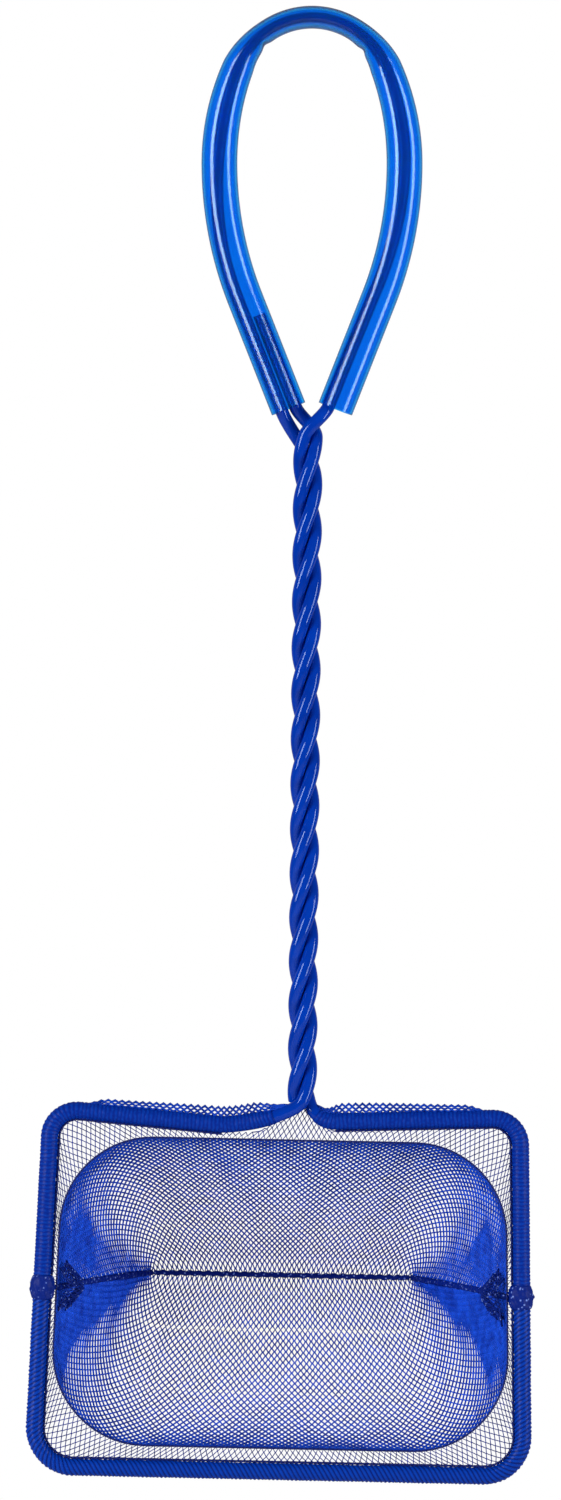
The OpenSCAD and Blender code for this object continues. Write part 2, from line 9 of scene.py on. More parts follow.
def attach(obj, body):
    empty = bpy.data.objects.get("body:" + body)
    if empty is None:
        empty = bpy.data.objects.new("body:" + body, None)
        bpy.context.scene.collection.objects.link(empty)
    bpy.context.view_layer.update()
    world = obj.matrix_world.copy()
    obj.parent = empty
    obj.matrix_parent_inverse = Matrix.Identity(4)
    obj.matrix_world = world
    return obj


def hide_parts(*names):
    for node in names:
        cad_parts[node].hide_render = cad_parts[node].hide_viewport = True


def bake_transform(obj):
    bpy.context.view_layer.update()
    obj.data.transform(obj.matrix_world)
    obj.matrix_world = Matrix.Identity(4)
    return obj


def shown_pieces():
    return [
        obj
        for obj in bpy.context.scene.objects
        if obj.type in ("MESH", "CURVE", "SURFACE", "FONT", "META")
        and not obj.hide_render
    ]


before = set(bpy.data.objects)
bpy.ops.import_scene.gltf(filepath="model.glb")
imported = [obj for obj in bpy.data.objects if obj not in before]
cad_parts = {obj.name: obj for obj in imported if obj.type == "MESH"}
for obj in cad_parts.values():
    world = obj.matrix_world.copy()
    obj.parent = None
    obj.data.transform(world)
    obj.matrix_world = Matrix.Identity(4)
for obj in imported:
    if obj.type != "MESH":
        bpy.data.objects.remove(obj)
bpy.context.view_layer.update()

mm = 0.001  # lengths below are in millimetres until a mesh is made


# shared curves

def mix(a, b, share):
    return a + (b - a) * share


def ease(share):
    share = max(0, min(1, share))
    return share * share * (3 - 2 * share)


def bezier(a, b, c, d, steps):
    shares = [i / steps for i in range(steps + 1)]
    return [
        (1 - t) ** 3 * a + 3 * (1 - t) ** 2 * t * b + 3 * (1 - t) * t * t * c + t ** 3 * d
        for t in shares
    ]


def cornerBend(a, b, c, radius, steps):  # round bend at corner b between a and c
    toA = (a - b).normalized()
    toC = (c - b).normalized()
    half = toA.angle(toC) / 2
    middle = b + (toA + toC).normalized() * radius / math.sin(half)
    first = b + toA * radius / math.tan(half) - middle
    last = b + toC * radius / math.tan(half) - middle
    sweep = first.angle(last)
    bend = []
    for i in range(steps + 1):
        gone = sweep * i / steps
        bend.append(middle + (first * math.sin(sweep - gone) + last * math.sin(gone)) / math.sin(sweep))
    return bend


def lengthsAlong(line):
    total = [0]
    for a, b in zip(line, line[1:]):
        total.append(total[-1] + (b - a).length)
    return total


def pointAt(line, lengths, length):
    i = max(1, min(bisect_right(lengths, length), len(line) - 1))
    span = lengths[i] - lengths[i - 1]
    return mix(line[i - 1], line[i], (length - lengths[i - 1]) / span if span else 0)


def evenly(line, spacing):  # the same line with its points at even distances
    lengths = lengthsAlong(line)
    count = max(2, round(lengths[-1] / spacing))
    return [pointAt(line, lengths, lengths[-1] * i / count) for i in range(count + 1)]


def placesOn(line):  # each point with the direction nearest to the back, and the one beside it
    found = []
    for i, point in enumerate(line):
        along = (line[min(i + 1, len(line) - 1)] - line[max(i - 1, 0)]).normalized()
        back = (Vector((0, 1, 0)) - along.y * along).normalized()
        found.append((point, back, along.cross(back)))
    return found


# centre line of the wire, as the part's source has it

wire = {"diameter": 2.7, "coreDiameter": 1.8, "coreGap": 0.08, "sides": 20, "coreSides": 10}
handle = {
    "height": 135, "turns": 4.91, "layEase": 0.05, "secondTurn": 241.4, "strandGap": 0.1,
    "lean": 1.2, "crossHeight": 5.8, "thirdEaseHeight": 7.5, "ringsPerTurn": 36, "neckSteps": 24,
    "helixShare": 6.4, "crossReachShare": 0.4, "crossSwellShare": 1.2, "thirdTopSwell": 1.56,
    "thirdFootSwell": 0.36, "neckWireShare": 0.43, "firstNeckShare": 0.55, "secondNeckShare": 0.42,
    "tangentStep": 0.001,
}
loopBend = {
    "width": 37.7, "topRadius": 16.2, "shoulderRadius": 52, "sideRadius": 75, "legSlope": 21.5,
    "legLength": 24.2, "twistShift": 0.8, "legSteps": 2, "sideSteps": 5, "shoulderSteps": 4, "topSteps": 7,
    "finer": 5, "flatAngle": 60, "restShare": 0.04, "rightEase": 8, "leftEase": 9, "leftRest": 3,
    "backEase": 4,
}
sleeve = {
    "diameter": 7.3, "wall": 0.5, "topThickness": 4.6, "spreadShare": 0.8, "spareLength": 20, "sides": 32,
    "solidSides": 12, "wireGap": 0.05, "spareSteps": 8, "kinkDepth": 0.45, "kinkLength": 1.1,
    "leftKink": 12, "rightKink": 13.5,
}
hoop = {
    "width": 99.6, "topWidth": 95.2, "height": 72.7, "shift": 3.3, "tilt": 1.25, "topRadius": 5.4,
    "bottomRadius": 7.8, "cornerDrop": 2.8, "leftNeckWidth": 16.2, "leftNeckHeight": 5.4,
    "rightNeckWidth": 6.8, "rightNeckHeight": 4.3, "bendSteps": 14,
}

wireRadius = wire["diameter"] / 2
boreRadius = wire["coreDiameter"] / 2 + wire["coreGap"]
layLength = handle["height"] * (1 - handle["layEase"]) / handle["turns"]
straightLay = (wire["diameter"] + handle["strandGap"]) / math.sqrt(3)
layRadius = straightLay * (1 + handle["helixShare"] * (straightLay / layLength) ** 2)

slope = math.radians(loopBend["legSlope"])
loopTop = sleeve["topThickness"] / 2
radiusDrop = loopBend["shoulderRadius"] - loopBend["topRadius"]
shoulderTurn = math.acos((loopBend["shoulderRadius"] - loopBend["width"] / 2) / radiusDrop)
loopWide = loopTop - loopBend["topRadius"] - radiusDrop * math.sin(shoulderTurn)  # where it is widest
legTop = Vector((
    loopBend["width"] / 2 - loopBend["sideRadius"] * (1 - math.cos(slope)), 0,
    loopWide - loopBend["sideRadius"] * math.sin(slope)))
legEnd = legTop - loopBend["legLength"] * Vector((math.sin(slope), 0, math.cos(slope)))
twistTop = Vector((-loopBend["twistShift"], 0, legEnd.z - handle["crossHeight"]))
foot = Vector((twistTop.x - handle["lean"], 0, twistTop.z - handle["height"]))

sideBySide = wireRadius + loopBend["restShare"] * wire["diameter"]
sleeveBore = (sleeve["diameter"] / 2 - sleeve["wall"]) * math.cos(math.pi / sleeve["solidSides"])
sleeveSpare = sleeveBore - wireRadius - sleeve["wireGap"]
backOffset = math.sqrt(sleeveSpare ** 2 - sideBySide ** 2)
toBack = Vector((0, 1, 0))


def onArc(middleX, middleZ, radius, angle):
    out = Vector((math.cos(angle), 0, math.sin(angle)))
    flat = ease(angle / math.radians(loopBend["flatAngle"]))  # round at the sides, flattest over the top
    return Vector((middleX, 0, middleZ)) + radius * out, out, flat


def loopHalf():  # from the sleeve's end up to the middle of the top bend: point, outward, flattening
    legSteps = loopBend["legSteps"] * loopBend["finer"]
    out = Vector((math.cos(slope), 0, -math.sin(slope)))
    half = [(mix(legEnd, legTop, i / legSteps), out, 0) for i in range(legSteps + 1)]
    for part, low, high in (
        ("side", -slope, 0),
        ("shoulder", 0, shoulderTurn),
        ("top", shoulderTurn, math.pi / 2),
    ):
        steps = loopBend[part + "Steps"] * loopBend["finer"]
        radius = loopBend[part + "Radius"]
        middleX = 0 if part == "top" else loopBend["width"] / 2 - radius
        middleZ = loopTop - radius if part == "top" else loopWide
        half += [onArc(middleX, middleZ, radius, mix(low, high, i / steps)) for i in range(1, steps + 1)]
    return half


def acrossLoop(place):
    return Vector((-place[0].x, 0, place[0].z)), Vector((-place[1].x, 0, place[1].z)), place[2]


rightHalf = loopHalf()
loopPlaces = rightHalf + [acrossLoop(place) for place in reversed(rightHalf[:-1])]


def loopShift(i):  # how far the wire lies from the sleeve's middle
    fromRight = i / loopBend["finer"]
    fromLeft = (len(loopPlaces) - 1 - i) / loopBend["finer"]
    if fromRight < loopBend["rightEase"]:
        return -sideBySide * (1 - ease(fromRight / loopBend["rightEase"]))
    if fromLeft < loopBend["leftEase"]:
        eased = (fromLeft - loopBend["leftRest"]) / (loopBend["leftEase"] - loopBend["leftRest"])
        return sideBySide * (1 - ease(eased))
    return 0


loopLine = []
for i, place in enumerate(loopPlaces):
    lift = backOffset * (1 - ease(i / loopBend["finer"] / loopBend["backEase"]))
    loopLine.append(place[0] + loopShift(i) * place[1] - lift * toBack)


def strandPoint(share, firstTurn):
    turn = firstTurn - 360 * handle["turns"] * (share - handle["layEase"] * share * (1 - share))
    angle = math.radians(turn)
    return mix(twistTop, foot, share) + layRadius * Vector((math.cos(angle), math.sin(angle), 0))


def strandUp(share, firstTurn):
    step = handle["tangentStep"]
    return (strandPoint(share - step, firstTurn) - strandPoint(share + step, firstTurn)).normalized()


def strandLine(firstTurn, startShare):
    rings = math.ceil(handle["turns"] * handle["ringsPerTurn"])
    return [strandPoint(mix(startShare, 1, i / rings), firstTurn) for i in range(rings + 1)]


def fromHoop(x, z, y=0):  # the hoop's own frame is turned about the handle's foot
    tilt = math.radians(hoop["tilt"])
    across = x * math.cos(tilt) + z * math.sin(tilt)
    up = z * math.cos(tilt) - x * math.sin(tilt)
    return foot + Vector((across, y, up))


secondTurn = handle["secondTurn"]
firstTurn = secondTurn + 120  # the three strands stand a third of a turn apart
thirdTurn = secondTurn + 240
legUp = Vector((-math.sin(slope), 0, math.cos(slope)))
legDownRight = Vector((-math.sin(slope), 0, -math.cos(slope)))
leftEnd = loopPlaces[-1]
spareFoot = leftEnd[0] - sideBySide * leftEnd[1] + backOffset * toBack
spareLine = [
    spareFoot + legUp * sleeve["spareLength"] * (1 - i / sleeve["spareSteps"])
    for i in range(sleeve["spareSteps"] + 1)
]
reach = handle["crossHeight"] * handle["crossReachShare"]
swell = layRadius * handle["crossSwellShare"]
steps = handle["neckSteps"]
firstTop = bezier(
    spareFoot, spareFoot - legUp * reach + (swell - spareFoot.y) * toBack,
    strandPoint(0, firstTurn) + strandUp(0, firstTurn) * reach + swell * toBack,
    strandPoint(0, firstTurn), steps)
secondTop = bezier(
    strandPoint(0, secondTurn), strandPoint(0, secondTurn) + strandUp(0, secondTurn) * reach,
    loopLine[0] + legDownRight * reach - swell * toBack, loopLine[0], steps)
thirdShare = handle["thirdEaseHeight"] / handle["height"]
thirdReach = (handle["crossHeight"] + handle["thirdEaseHeight"]) / 3
thirdPoint = strandPoint(thirdShare, thirdTurn)
thirdUp = strandUp(thirdShare, thirdTurn) * thirdReach
thirdTop = bezier(
    loopLine[-1], loopLine[-1] - legUp * thirdReach + layRadius * handle["thirdTopSwell"] * toBack,
    thirdPoint + thirdUp + layRadius * handle["thirdFootSwell"] * toBack, thirdPoint, steps)
leftLow = fromHoop(-hoop["leftNeckWidth"], -hoop["leftNeckHeight"])
rightLow = fromHoop(hoop["rightNeckWidth"], -hoop["rightNeckHeight"])
firstFoot = strandPoint(1, firstTurn)
secondFoot = strandPoint(1, secondTurn)
firstNeck = bezier(
    firstFoot, firstFoot - strandUp(1, firstTurn) * hoop["rightNeckHeight"] * handle["firstNeckShare"],
    rightLow - Vector((hoop["rightNeckWidth"] * handle["neckWireShare"], 0, 0)), rightLow, steps)
secondNeck = bezier(
    leftLow, leftLow + Vector((hoop["leftNeckWidth"] * handle["neckWireShare"], 0, 0)),
    secondFoot - strandUp(1, secondTurn) * hoop["leftNeckHeight"] * handle["secondNeckShare"],
    secondFoot, steps)

seamZ = -hoop["cornerDrop"] - hoop["height"] / 2


def hoopCorner(side, end, inset):  # side -1 is left, end 1 is the top, in the hoop's frame
    half = (hoop["topWidth"] if end > 0 else hoop["width"]) / 2
    z = -hoop["cornerDrop"] - (0 if end > 0 else hoop["height"])
    return Vector((-hoop["shift"] + side * (half - inset), z - end * inset))


def onSide(side, inset, z):
    top = hoopCorner(side, 1, inset)
    bottom = hoopCorner(side, -1, inset)
    return mix(top, bottom, (z - top.y) / (bottom.y - top.y))


def hoopArc(upper, inset, low=0):  # half of the hoop, from left seam to right seam, drawn in by an inset
    end = 1 if upper else -1
    radius = (hoop["topRadius"] if upper else hoop["bottomRadius"]) - inset
    corners = [hoopCorner(side, end, inset) for side in (-1, 1)]
    starts = [onSide(side, inset, seamZ + end * low) for side in (-1, 1)]
    if upper:
        inner = [Vector((-hoop["leftNeckWidth"], -hoop["leftNeckHeight"] - inset)),
                 Vector((hoop["rightNeckWidth"], -hoop["rightNeckHeight"] - inset))]
    else:
        inner = [corners[1], corners[0]]
    left = [starts[0]] + cornerBend(starts[0], corners[0], inner[0], radius, hoop["bendSteps"])
    right = cornerBend(inner[1], corners[1], starts[1], radius, hoop["bendSteps"]) + [starts[1]]
    return left + (inner if upper else []) + right


upperArc = [fromHoop(point.x, point.y) for point in hoopArc(True, 0)]
lowerArc = [fromHoop(point.x, point.y) for point in hoopArc(False, 0)]
cornerCount = hoop["bendSteps"] + 1
upperLeft = upperArc[:cornerCount + 1]  # left seam to the end of the top left bend
upperRight = upperArc[cornerCount + 3:]  # top right bend to the right seam
firstStrand = firstTop[1:] + strandLine(firstTurn, 0)[1:] + firstNeck[1:]
secondStrand = secondNeck[1:] + list(reversed(strandLine(secondTurn, 0)))[1:] + secondTop[1:]
thirdStrand = thirdTop[1:] + strandLine(thirdTurn, thirdShare)[1:]
runs = (
    ("spareWireEnd", "spare_wire_end", spareLine),
    ("firstStrand", "first_strand", firstStrand),
    ("hoopWireTopRight", "hoop_wire_top_right", upperRight[:-1]),
    ("hoopWireRight", "hoop_wire_right", upperRight[-1:] + [lowerArc[-2]]),
    ("hoopWireBottom", "hoop_wire_bottom", list(reversed(lowerArc[1:-2]))),
    ("hoopWireLeft", "hoop_wire_left", [lowerArc[0], upperLeft[1]]),
    ("hoopWireTopLeft", "hoop_wire_top_left", upperLeft[2:] + [leftLow]),
    ("secondStrand", "second_strand", secondStrand),
    ("loopWire", "loop_wire", loopLine[1:]),
    ("thirdStrand", "third_strand", thirdStrand),
)
wireLine = []
runSpans = {}
for name, node, line in runs:
    start = max(0, len(wireLine) - 1)
    wireLine += line
    runSpans[name] = (start, len(wireLine) - 1)
wirePlaces = placesOn(wireLine)
print("wire line done")


# meshes

meshing = {"weld": 0.002, "tooThin": 0.001, "sharpAngle": 50}
finishOf = {}  # each piece's finish, by its name


def finishMesh(name, bm, body, nodes=(), slot=None, finish=None):
    mesh = bpy.data.meshes.new(name)
    bm.to_mesh(mesh)
    bm.free()
    mesh.polygons.foreach_set("use_smooth", [True] * len(mesh.polygons))
    piece = bpy.data.objects.new(name, mesh)
    bpy.context.scene.collection.objects.link(piece)
    if body:
        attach(piece, body)
    if nodes:
        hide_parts(*nodes)
    if slot:
        finishOf[name] = finish or slot
    return piece


def shapedGrid(columns, rows, place):  # a grid whose points go where place says; its UV map is in metres
    bm = bmesh.new()
    bmesh.ops.create_grid(bm, x_segments=columns, y_segments=rows, size=1)
    layer = bm.loops.layers.uv.new("UVMap")
    spots = {}
    for vert in bm.verts:
        column = round((vert.co.x + 1) / 2 * columns)
        row = round((vert.co.y + 1) / 2 * rows)
        spots[vert] = place(column, row)
    for face in bm.faces:
        for loop in face.loops:
            point, u, v = spots[loop.vert]
            loop[layer].uv = (u * mm, v * mm)
    for vert, spot in spots.items():
        vert.co = spot[0] * mm
    return bm


def closeShape(bm):
    bmesh.ops.remove_doubles(bm, verts=bm.verts, dist=meshing["weld"] * mm)
    bmesh.ops.dissolve_degenerate(bm, edges=bm.edges, dist=meshing["tooThin"] * mm)
    rims = [edge for edge in bm.edges if edge.is_boundary]
    if rims:
        bmesh.ops.holes_fill(bm, edges=rims, sides=0)
    bmesh.ops.recalc_face_normals(bm, faces=bm.faces)
    for edge in bm.edges:
        edge.smooth = edge.calc_face_angle(0) < math.radians(meshing["sharpAngle"])  # cut ends stay crisp


def rodMesh(places, radiusAt, sides, bore=0, girth=0):  # solid rod, or a tube where there is a bore
    lengths = lengthsAlong([place[0] for place in places])
    order = [(i, False) for i in range(len(places))]
    if bore:
        order = [(0, True)] + order + [(i, True) for i in range(len(places) - 1, -1, -1)]

    def place(column, row):
        i, inside = order[row]
        point, back, beside = places[i]
        turn = 2 * math.pi * column / sides
        radius = bore if inside else radiusAt(lengths[i], turn)
        spot = point + radius * (math.cos(turn) * back + math.sin(turn) * beside)
        return spot, lengths[i], turn * (girth or radius)

    bm = shapedGrid(sides, len(order) - 1, place)
    closeShape(bm)
    return bm


# vinyl coated wire

for name, node, line in runs:
    start, end = runSpans[name]
    bm = rodMesh(wirePlaces[start:end + 1], lambda length, turn: wireRadius, wire["sides"], boreRadius)
    # the wire inside the sleeve gets a darker copy of the coat: painted shade
    underSleeve = name in ("loopWire", "spareWireEnd")
    finishMesh(name, bm, "frame", [node], "coat", "paintedShadeCoat" if underSleeve else None)
bm = rodMesh(wirePlaces, lambda length, turn: wire["coreDiameter"] / 2, wire["coreSides"])
finishMesh("steelCore", bm, "frame", ["steel_core"], "core")
print("wire done")


# grip sleeve

def sleeveMesh():
    order = [(0, True)] + [(i, False) for i in range(len(loopPlaces))] + [
        (i, True) for i in range(len(loopPlaces) - 1, -1, -1)]
    lengths = lengthsAlong([place[0] for place in loopPlaces])
    middle = lengths[-1] / 2
    kinks = (middle - sleeve["rightKink"], middle + sleeve["leftKink"])  # the wall buckles beside the bend

    def place(column, row):
        i, inside = order[row]
        point, out, flat = loopPlaces[i]
        lost = (sleeve["diameter"] - sleeve["topThickness"]) * flat
        shrink = sleeve["wall"] if inside else 0
        turn = 2 * math.pi * column / sleeve["sides"]
        towards = max(0, -math.cos(turn)) ** 2  # the side that faces the loop's middle
        for kink in kinks:
            away = (lengths[i] - kink) / sleeve["kinkLength"]
            shrink += sleeve["kinkDepth"] * towards * math.exp(-away ** 2)
        halfThick = (sleeve["diameter"] - lost) / 2 - shrink
        halfWide = (sleeve["diameter"] + lost * sleeve["spreadShare"]) / 2 - shrink
        spot = point + halfThick * math.cos(turn) * out + halfWide * math.sin(turn) * toBack
        return spot, lengths[i], turn * halfWide

    bm = shapedGrid(sleeve["sides"], len(order) - 1, place)
    closeShape(bm)
    return bm


finishMesh("gripSleeve", sleeveMesh(), "frame", ["grip_sleeve"], "sleeve")
print("sleeve done")


# hems over the hoop's wire

hem = {
    "diameter": 3.4, "bore": 1.42, "outward": 0.14, "sides": 32, "upperSpacing": 0.3, "lowerSpacing": 0.2,
    "ribPitch": 0.95, "ribHeight": 0.17, "ribLean": -3, "ribRound": 0.7, "barPitch": 0.8, "barHeight": 0.02,
    "scallopPitch": 0.76, "scallopHeight": 0.18, "scallopNarrow": 8, "slack": 0.05, "slackLength": 6,
    "upperSeed": 2, "lowerSeed": 5, "neckTaper": 3, "neckWall": 0.1, "neckShare": 0.5,
}
hemRadius = hem["diameter"] / 2
neckSpare = round(handle["neckSteps"] * hem["neckShare"])


def slack(length, turn, seed):  # slow change of the radius, as in folded cloth
    place = Vector((length / hem["slackLength"], math.cos(turn), math.sin(turn) + seed))
    return hem["slack"] * noise.noise(place)


def hemSkin(length, turn, outerTurn, seed):  # the fold sits outwards on the wire, its edge in small loops
    outward = math.cos(turn - outerTurn)
    loops = abs(math.sin(math.pi * length / hem["scallopPitch"])) * max(0, outward) ** hem["scallopNarrow"]
    return hemRadius + hem["outward"] * outward + slack(length, turn, seed) + hem["scallopHeight"] * loops


def upperHemRadius(neckAt):  # it draws in onto the wire where it ends at the neck
    def radiusAt(length, turn):
        bar = hem["barHeight"] * (abs(math.sin(math.pi * length / hem["barPitch"])) - 1)
        full = hemSkin(length, turn, math.pi / 2, hem["upperSeed"]) + bar
        return mix(hem["bore"] + hem["neckWall"], full, ease(abs(length - neckAt) / hem["neckTaper"]))
    return radiusAt


def lowerHemRadius(length, turn):
    wave = abs(math.sin(math.pi * length / hem["ribPitch"] + turn * hem["ribLean"]))
    skin = hemSkin(length, turn, -math.pi / 2, hem["lowerSeed"])
    return skin + hem["ribHeight"] * (wave ** hem["ribRound"] - 1)


lowerHemLine = evenly(lowerArc, hem["lowerSpacing"])
leftHemLine = evenly(upperLeft + [leftLow] + secondNeck[1:neckSpare + 1], hem["upperSpacing"])
rightHemLine = evenly(firstNeck[-neckSpare - 1:] + upperRight, hem["upperSpacing"])
for name, node, line, radiusAt, finish in (
    ("upperHemLeft", "upper_hem_left", leftHemLine, upperHemRadius(lengthsAlong(leftHemLine)[-1]), "hem"),
    ("upperHemRight", "upper_hem_right", rightHemLine, upperHemRadius(0), "hem"),
    ("lowerHem", "lower_hem", lowerHemLine, lowerHemRadius, "ribbedHem"),
):
    bm = rodMesh(placesOn(line), radiusAt, hem["sides"], hem["bore"], hemRadius)
    finishMesh(name, bm, "frame", [node], "hem", finish)
print("hems done")


# the knitted net: a flat brim beside the hem, then walls that draw in to a closed end. Its meshes are
# drawn coarser than the real ones of about 0.9 mm, which would close up in a picture

net = {
    "depth": 59.6, "endFront": 54, "endHeight": 10.6, "endWidth": 59, "endDraw": 2, "taperPower": 1.5,
    "faceShare": 0.86, "sideShare": 0.61, "closingRound": 0.6, "closedShare": 0.02, "mouthSide": 2.8,
    "mouthTop": 8.2, "mouthBottom": 4.55, "mouthCorner": 19, "endCorner": 4.6, "cornerShare": 0.88,
    "flatSteps": 12, "profileSteps": 240, "profileEase": 3, "weld": 0.05,
    "pitch": 1.15, "rowPitch": 1.8, "brimRows": 6, "brimWidest": 10, "brimThread": 0.27, "brimLift": 0.35,
    "hemTuck": 1.5, "wallPitch": 1.4, "wallRowPitch": 2.5, "thread": 0.46, "gatherShare": 0.35,
    "sag": 1.2, "sagEase": 0.8, "sagShare": 0.5, "wrinkle": 0.5, "wrinkleEdge": 14, "wrinkleFront": 12,
    "wrinkleBack": 46, "wrinkleFade": 8, "foldWide": 9, "foldDeep": 30, "creaseShare": 0.6, "creaseWide": 4,
    "creaseDeep": 22, "creaseSeed": 9, "lowerSeed": 40, "firstBand": 9.458, "bandPitch": 18.117, "bands": 3,
    "solidDepth": 60,
}
# middles of the solid bands, where one body hands over to the next, and the solid bag's back
zoneEnds = [net["firstBand"] + i * net["bandPitch"] for i in range(net["bands"])] + [net["solidDepth"]]
zoneBodies = ("frame", "bag_throat", "bag_belly", "bag_tail", "bag_end")
zoneNames = ("throat", "belly", "tail", "end")
# the brim fills the notch under the handle's foot
patchLine = [Vector(point) for point in ((-9, -6.7), (-1.2, -2.4), (0.5, -1), (2, -2.6), (5.6, -6))]
cornerMiddle = 1 + hoop["bendSteps"] // 2  # place of a corner's middle on the hem's line and on the mouth's


def halfWidth(z, depth):  # half of the bag's width at a height in the hoop's frame
    along = min(1, depth / net["endFront"])
    closing = max(0, depth - net["endFront"]) / (net["depth"] - net["endFront"])
    widest = hoop["topWidth"] / 2 - net["mouthSide"]
    splay = (hoop["width"] - hoop["topWidth"]) / 2 * (-hoop["cornerDrop"] - z) / hoop["height"]
    narrow = widest + (hoop["width"] - hoop["topWidth"]) / 4 - net["endWidth"] / 2
    drawn = mix(along, along ** net["taperPower"], net["sideShare"])
    return widest + splay - narrow * drawn - net["endDraw"] * closing


def sectionLine(upper, depth):  # half of the bag's cross-section, from the left seam to the right seam
    along = min(1, depth / net["endFront"])
    taper = along ** net["taperPower"]
    closing = max(0, depth - net["endFront"]) / (net["depth"] - net["endFront"])
    end = 1 if upper else -1
    tallest = abs(seamZ + net["mouthTop"]) if upper else hoop["height"] / 2 - net["mouthBottom"]
    tall = mix(tallest, net["endHeight"] / 2, mix(along, taper, net["faceShare"]))
    tall *= mix(net["closedShare"], 1, (1 - closing) ** net["closingRound"])
    level = seamZ + end * tall
    bend = min(mix(net["mouthCorner"], net["endCorner"], taper), net["cornerShare"] * tall)
    seams = [Vector((side * halfWidth(seamZ, depth), seamZ)) for side in (-1, 1)]
    corners = [Vector((side * halfWidth(level, depth), level)) for side in (-1, 1)]
    line = [seams[0]] + cornerBend(seams[0], corners[0], corners[1], bend, hoop["bendSteps"])
    across = Vector((-line[-1].x, line[-1].y))
    line += [mix(line[-1], across, i / net["flatSteps"]) for i in range(1, net["flatSteps"])]
    line += cornerBend(corners[0], corners[1], seams[1], bend, hoop["bendSteps"]) + [seams[1]]
    sag = net["sag"] * math.sin(math.pi * along ** net["sagEase"])
    placed = []
    for point in line:
        offSeam = min(1, abs(point.y - seamZ) / (net["sagShare"] * tall))
        hang = (1 - (point.x / seams[1].x) ** 2) * offSeam
        placed.append(Vector((point.x - hoop["shift"], point.y - sag * max(0, hang))))
    return placed


def rowDepths(upper):  # depths of the rows, one pitch apart along the bag's slope
    profile = []
    for i in range(net["profileSteps"] + 1):
        depth = net["depth"] * (1 - (1 - i / net["profileSteps"]) ** net["profileEase"])
        section = sectionLine(upper, depth)
        profile.append(Vector((depth, section[len(section) // 2].y)))
    return [spot.x for spot in evenly(profile, net["wallRowPitch"])]


def matched(length, fromLengths, toLengths):  # the same place on another line, corner for corner
    fromCorner, toCorner = fromLengths[cornerMiddle], toLengths[cornerMiddle]
    fromTotal, toTotal = fromLengths[-1], toLengths[-1]
    if length < fromCorner:
        return length * toCorner / fromCorner
    if length > fromTotal - fromCorner:
        return toTotal - (fromTotal - length) * toCorner / fromCorner
    return mix(toCorner, toTotal - toCorner, (length - fromCorner) / (fromTotal - 2 * fromCorner))


def withLengths(line):
    return line, lengthsAlong(line)


def brimPlace(upper):
    hemLine = hoopArc(upper, net["hemTuck"])
    if upper:
        hemLine = hemLine[:cornerCount + 2] + patchLine + hemLine[cornerCount + 2:]
    hemLine, hemLengths = withLengths(hemLine)
    mouthLine, mouthLengths = withLengths(sectionLine(upper, 0))
    columns = math.ceil(mouthLengths[-1] / net["pitch"])

    def place(column, row):  # row 0 is at the mouth; rows that don't fit the brim end on the hem
        length = mouthLengths[-1] * column / columns
        mouthSpot = pointAt(mouthLine, mouthLengths, length)
        hemSpot = pointAt(hemLine, hemLengths, matched(length, mouthLengths, hemLengths))
        wide = (hemSpot - mouthSpot).length
        share = min(1, row * net["rowPitch"] / wide)
        spot = mix(mouthSpot, hemSpot, share)
        return fromHoop(spot.x, spot.y, net["brimLift"] * math.sin(math.pi * share)), length, share * wide

    return place, columns


def wallPlace(upper):
    depths = rowDepths(upper)
    tables = [withLengths(sectionLine(upper, depth)) for depth in depths]
    mouthLength = tables[0][1][-1]
    columns = math.ceil(mouthLength / net["wallPitch"])
    seed = 0 if upper else net["lowerSeed"]
    centre = Vector((-hoop["shift"], seamZ))

    def place(column, row):
        line, lengths = tables[row]
        depth, total = depths[row], lengths[-1]
        across = (column / columns - 0.5) * mouthLength
        where = max(0, min(total, total / 2 + across * (total / mouthLength) ** net["gatherShare"]))
        spot = pointAt(line, lengths, where)
        free = min(1, where / net["wrinkleEdge"], (total - where) / net["wrinkleEdge"])
        free *= ease(depth / net["wrinkleFront"])
        free *= 1 - ease((depth - net["wrinkleBack"]) / net["wrinkleFade"])
        folds = noise.noise(Vector((across / net["foldWide"], depth / net["foldDeep"], seed)))
        folds += net["creaseShare"] * noise.noise(
            Vector((across / net["creaseWide"], depth / net["creaseDeep"], seed + net["creaseSeed"])))
        spot = spot + (centre - spot).normalized() * net["wrinkle"] * folds * max(0, free)
        return fromHoop(spot.x, spot.y, depth), across, row * net["wallRowPitch"]

    return place, columns, depths


def latticeMesh(columns, rows, place):  # diamonds of thread from a grid of squares, with a zigzag rim
    bm = shapedGrid(columns, rows, place)
    bmesh.ops.remove_doubles(bm, verts=bm.verts, dist=net["weld"] * mm)
    squares = list(bm.edges)
    bmesh.ops.poke(bm, faces=bm.faces)
    inner = [edge for edge in squares if edge.is_valid and len(edge.link_faces) == 2]
    rim = [edge for edge in squares if edge.is_valid and len(edge.link_faces) == 1]
    bmesh.ops.dissolve_edges(bm, edges=inner, use_verts=False)
    bmesh.ops.delete(bm, geom=[edge for edge in rim if edge.is_valid], context="EDGES_FACES")
    return bm


cutSizes = {}  # each net piece's width, length and area before it is gathered, and the area that it spans


def threadWalls(piece, thickness, columns, rows, pitch, rowPitch):
    cell = pitch * rowPitch * mm * mm
    area = min(len(piece.data.polygons) / 2, columns * rows) * cell  # two diamonds to a cell
    spanned = sum(face.area for face in piece.data.polygons)
    cutSizes[piece.name] = (columns * pitch * mm, rows * rowPitch * mm, area, spanned)
    threads = piece.modifiers.new("threads", "WIREFRAME")
    threads.thickness = thickness * mm
    threads.use_even_offset = False
    threads.use_boundary = True
    threads.use_replace = True


def bodiesOf(zone):  # the bodies at a zone's front and back, and its two depths
    front = zoneEnds[zone - 1] if zone else 0
    return zoneBodies[zone], zoneBodies[zone + 1], (0, front * mm, 0), (0, zoneEnds[zone] * mm, 0)


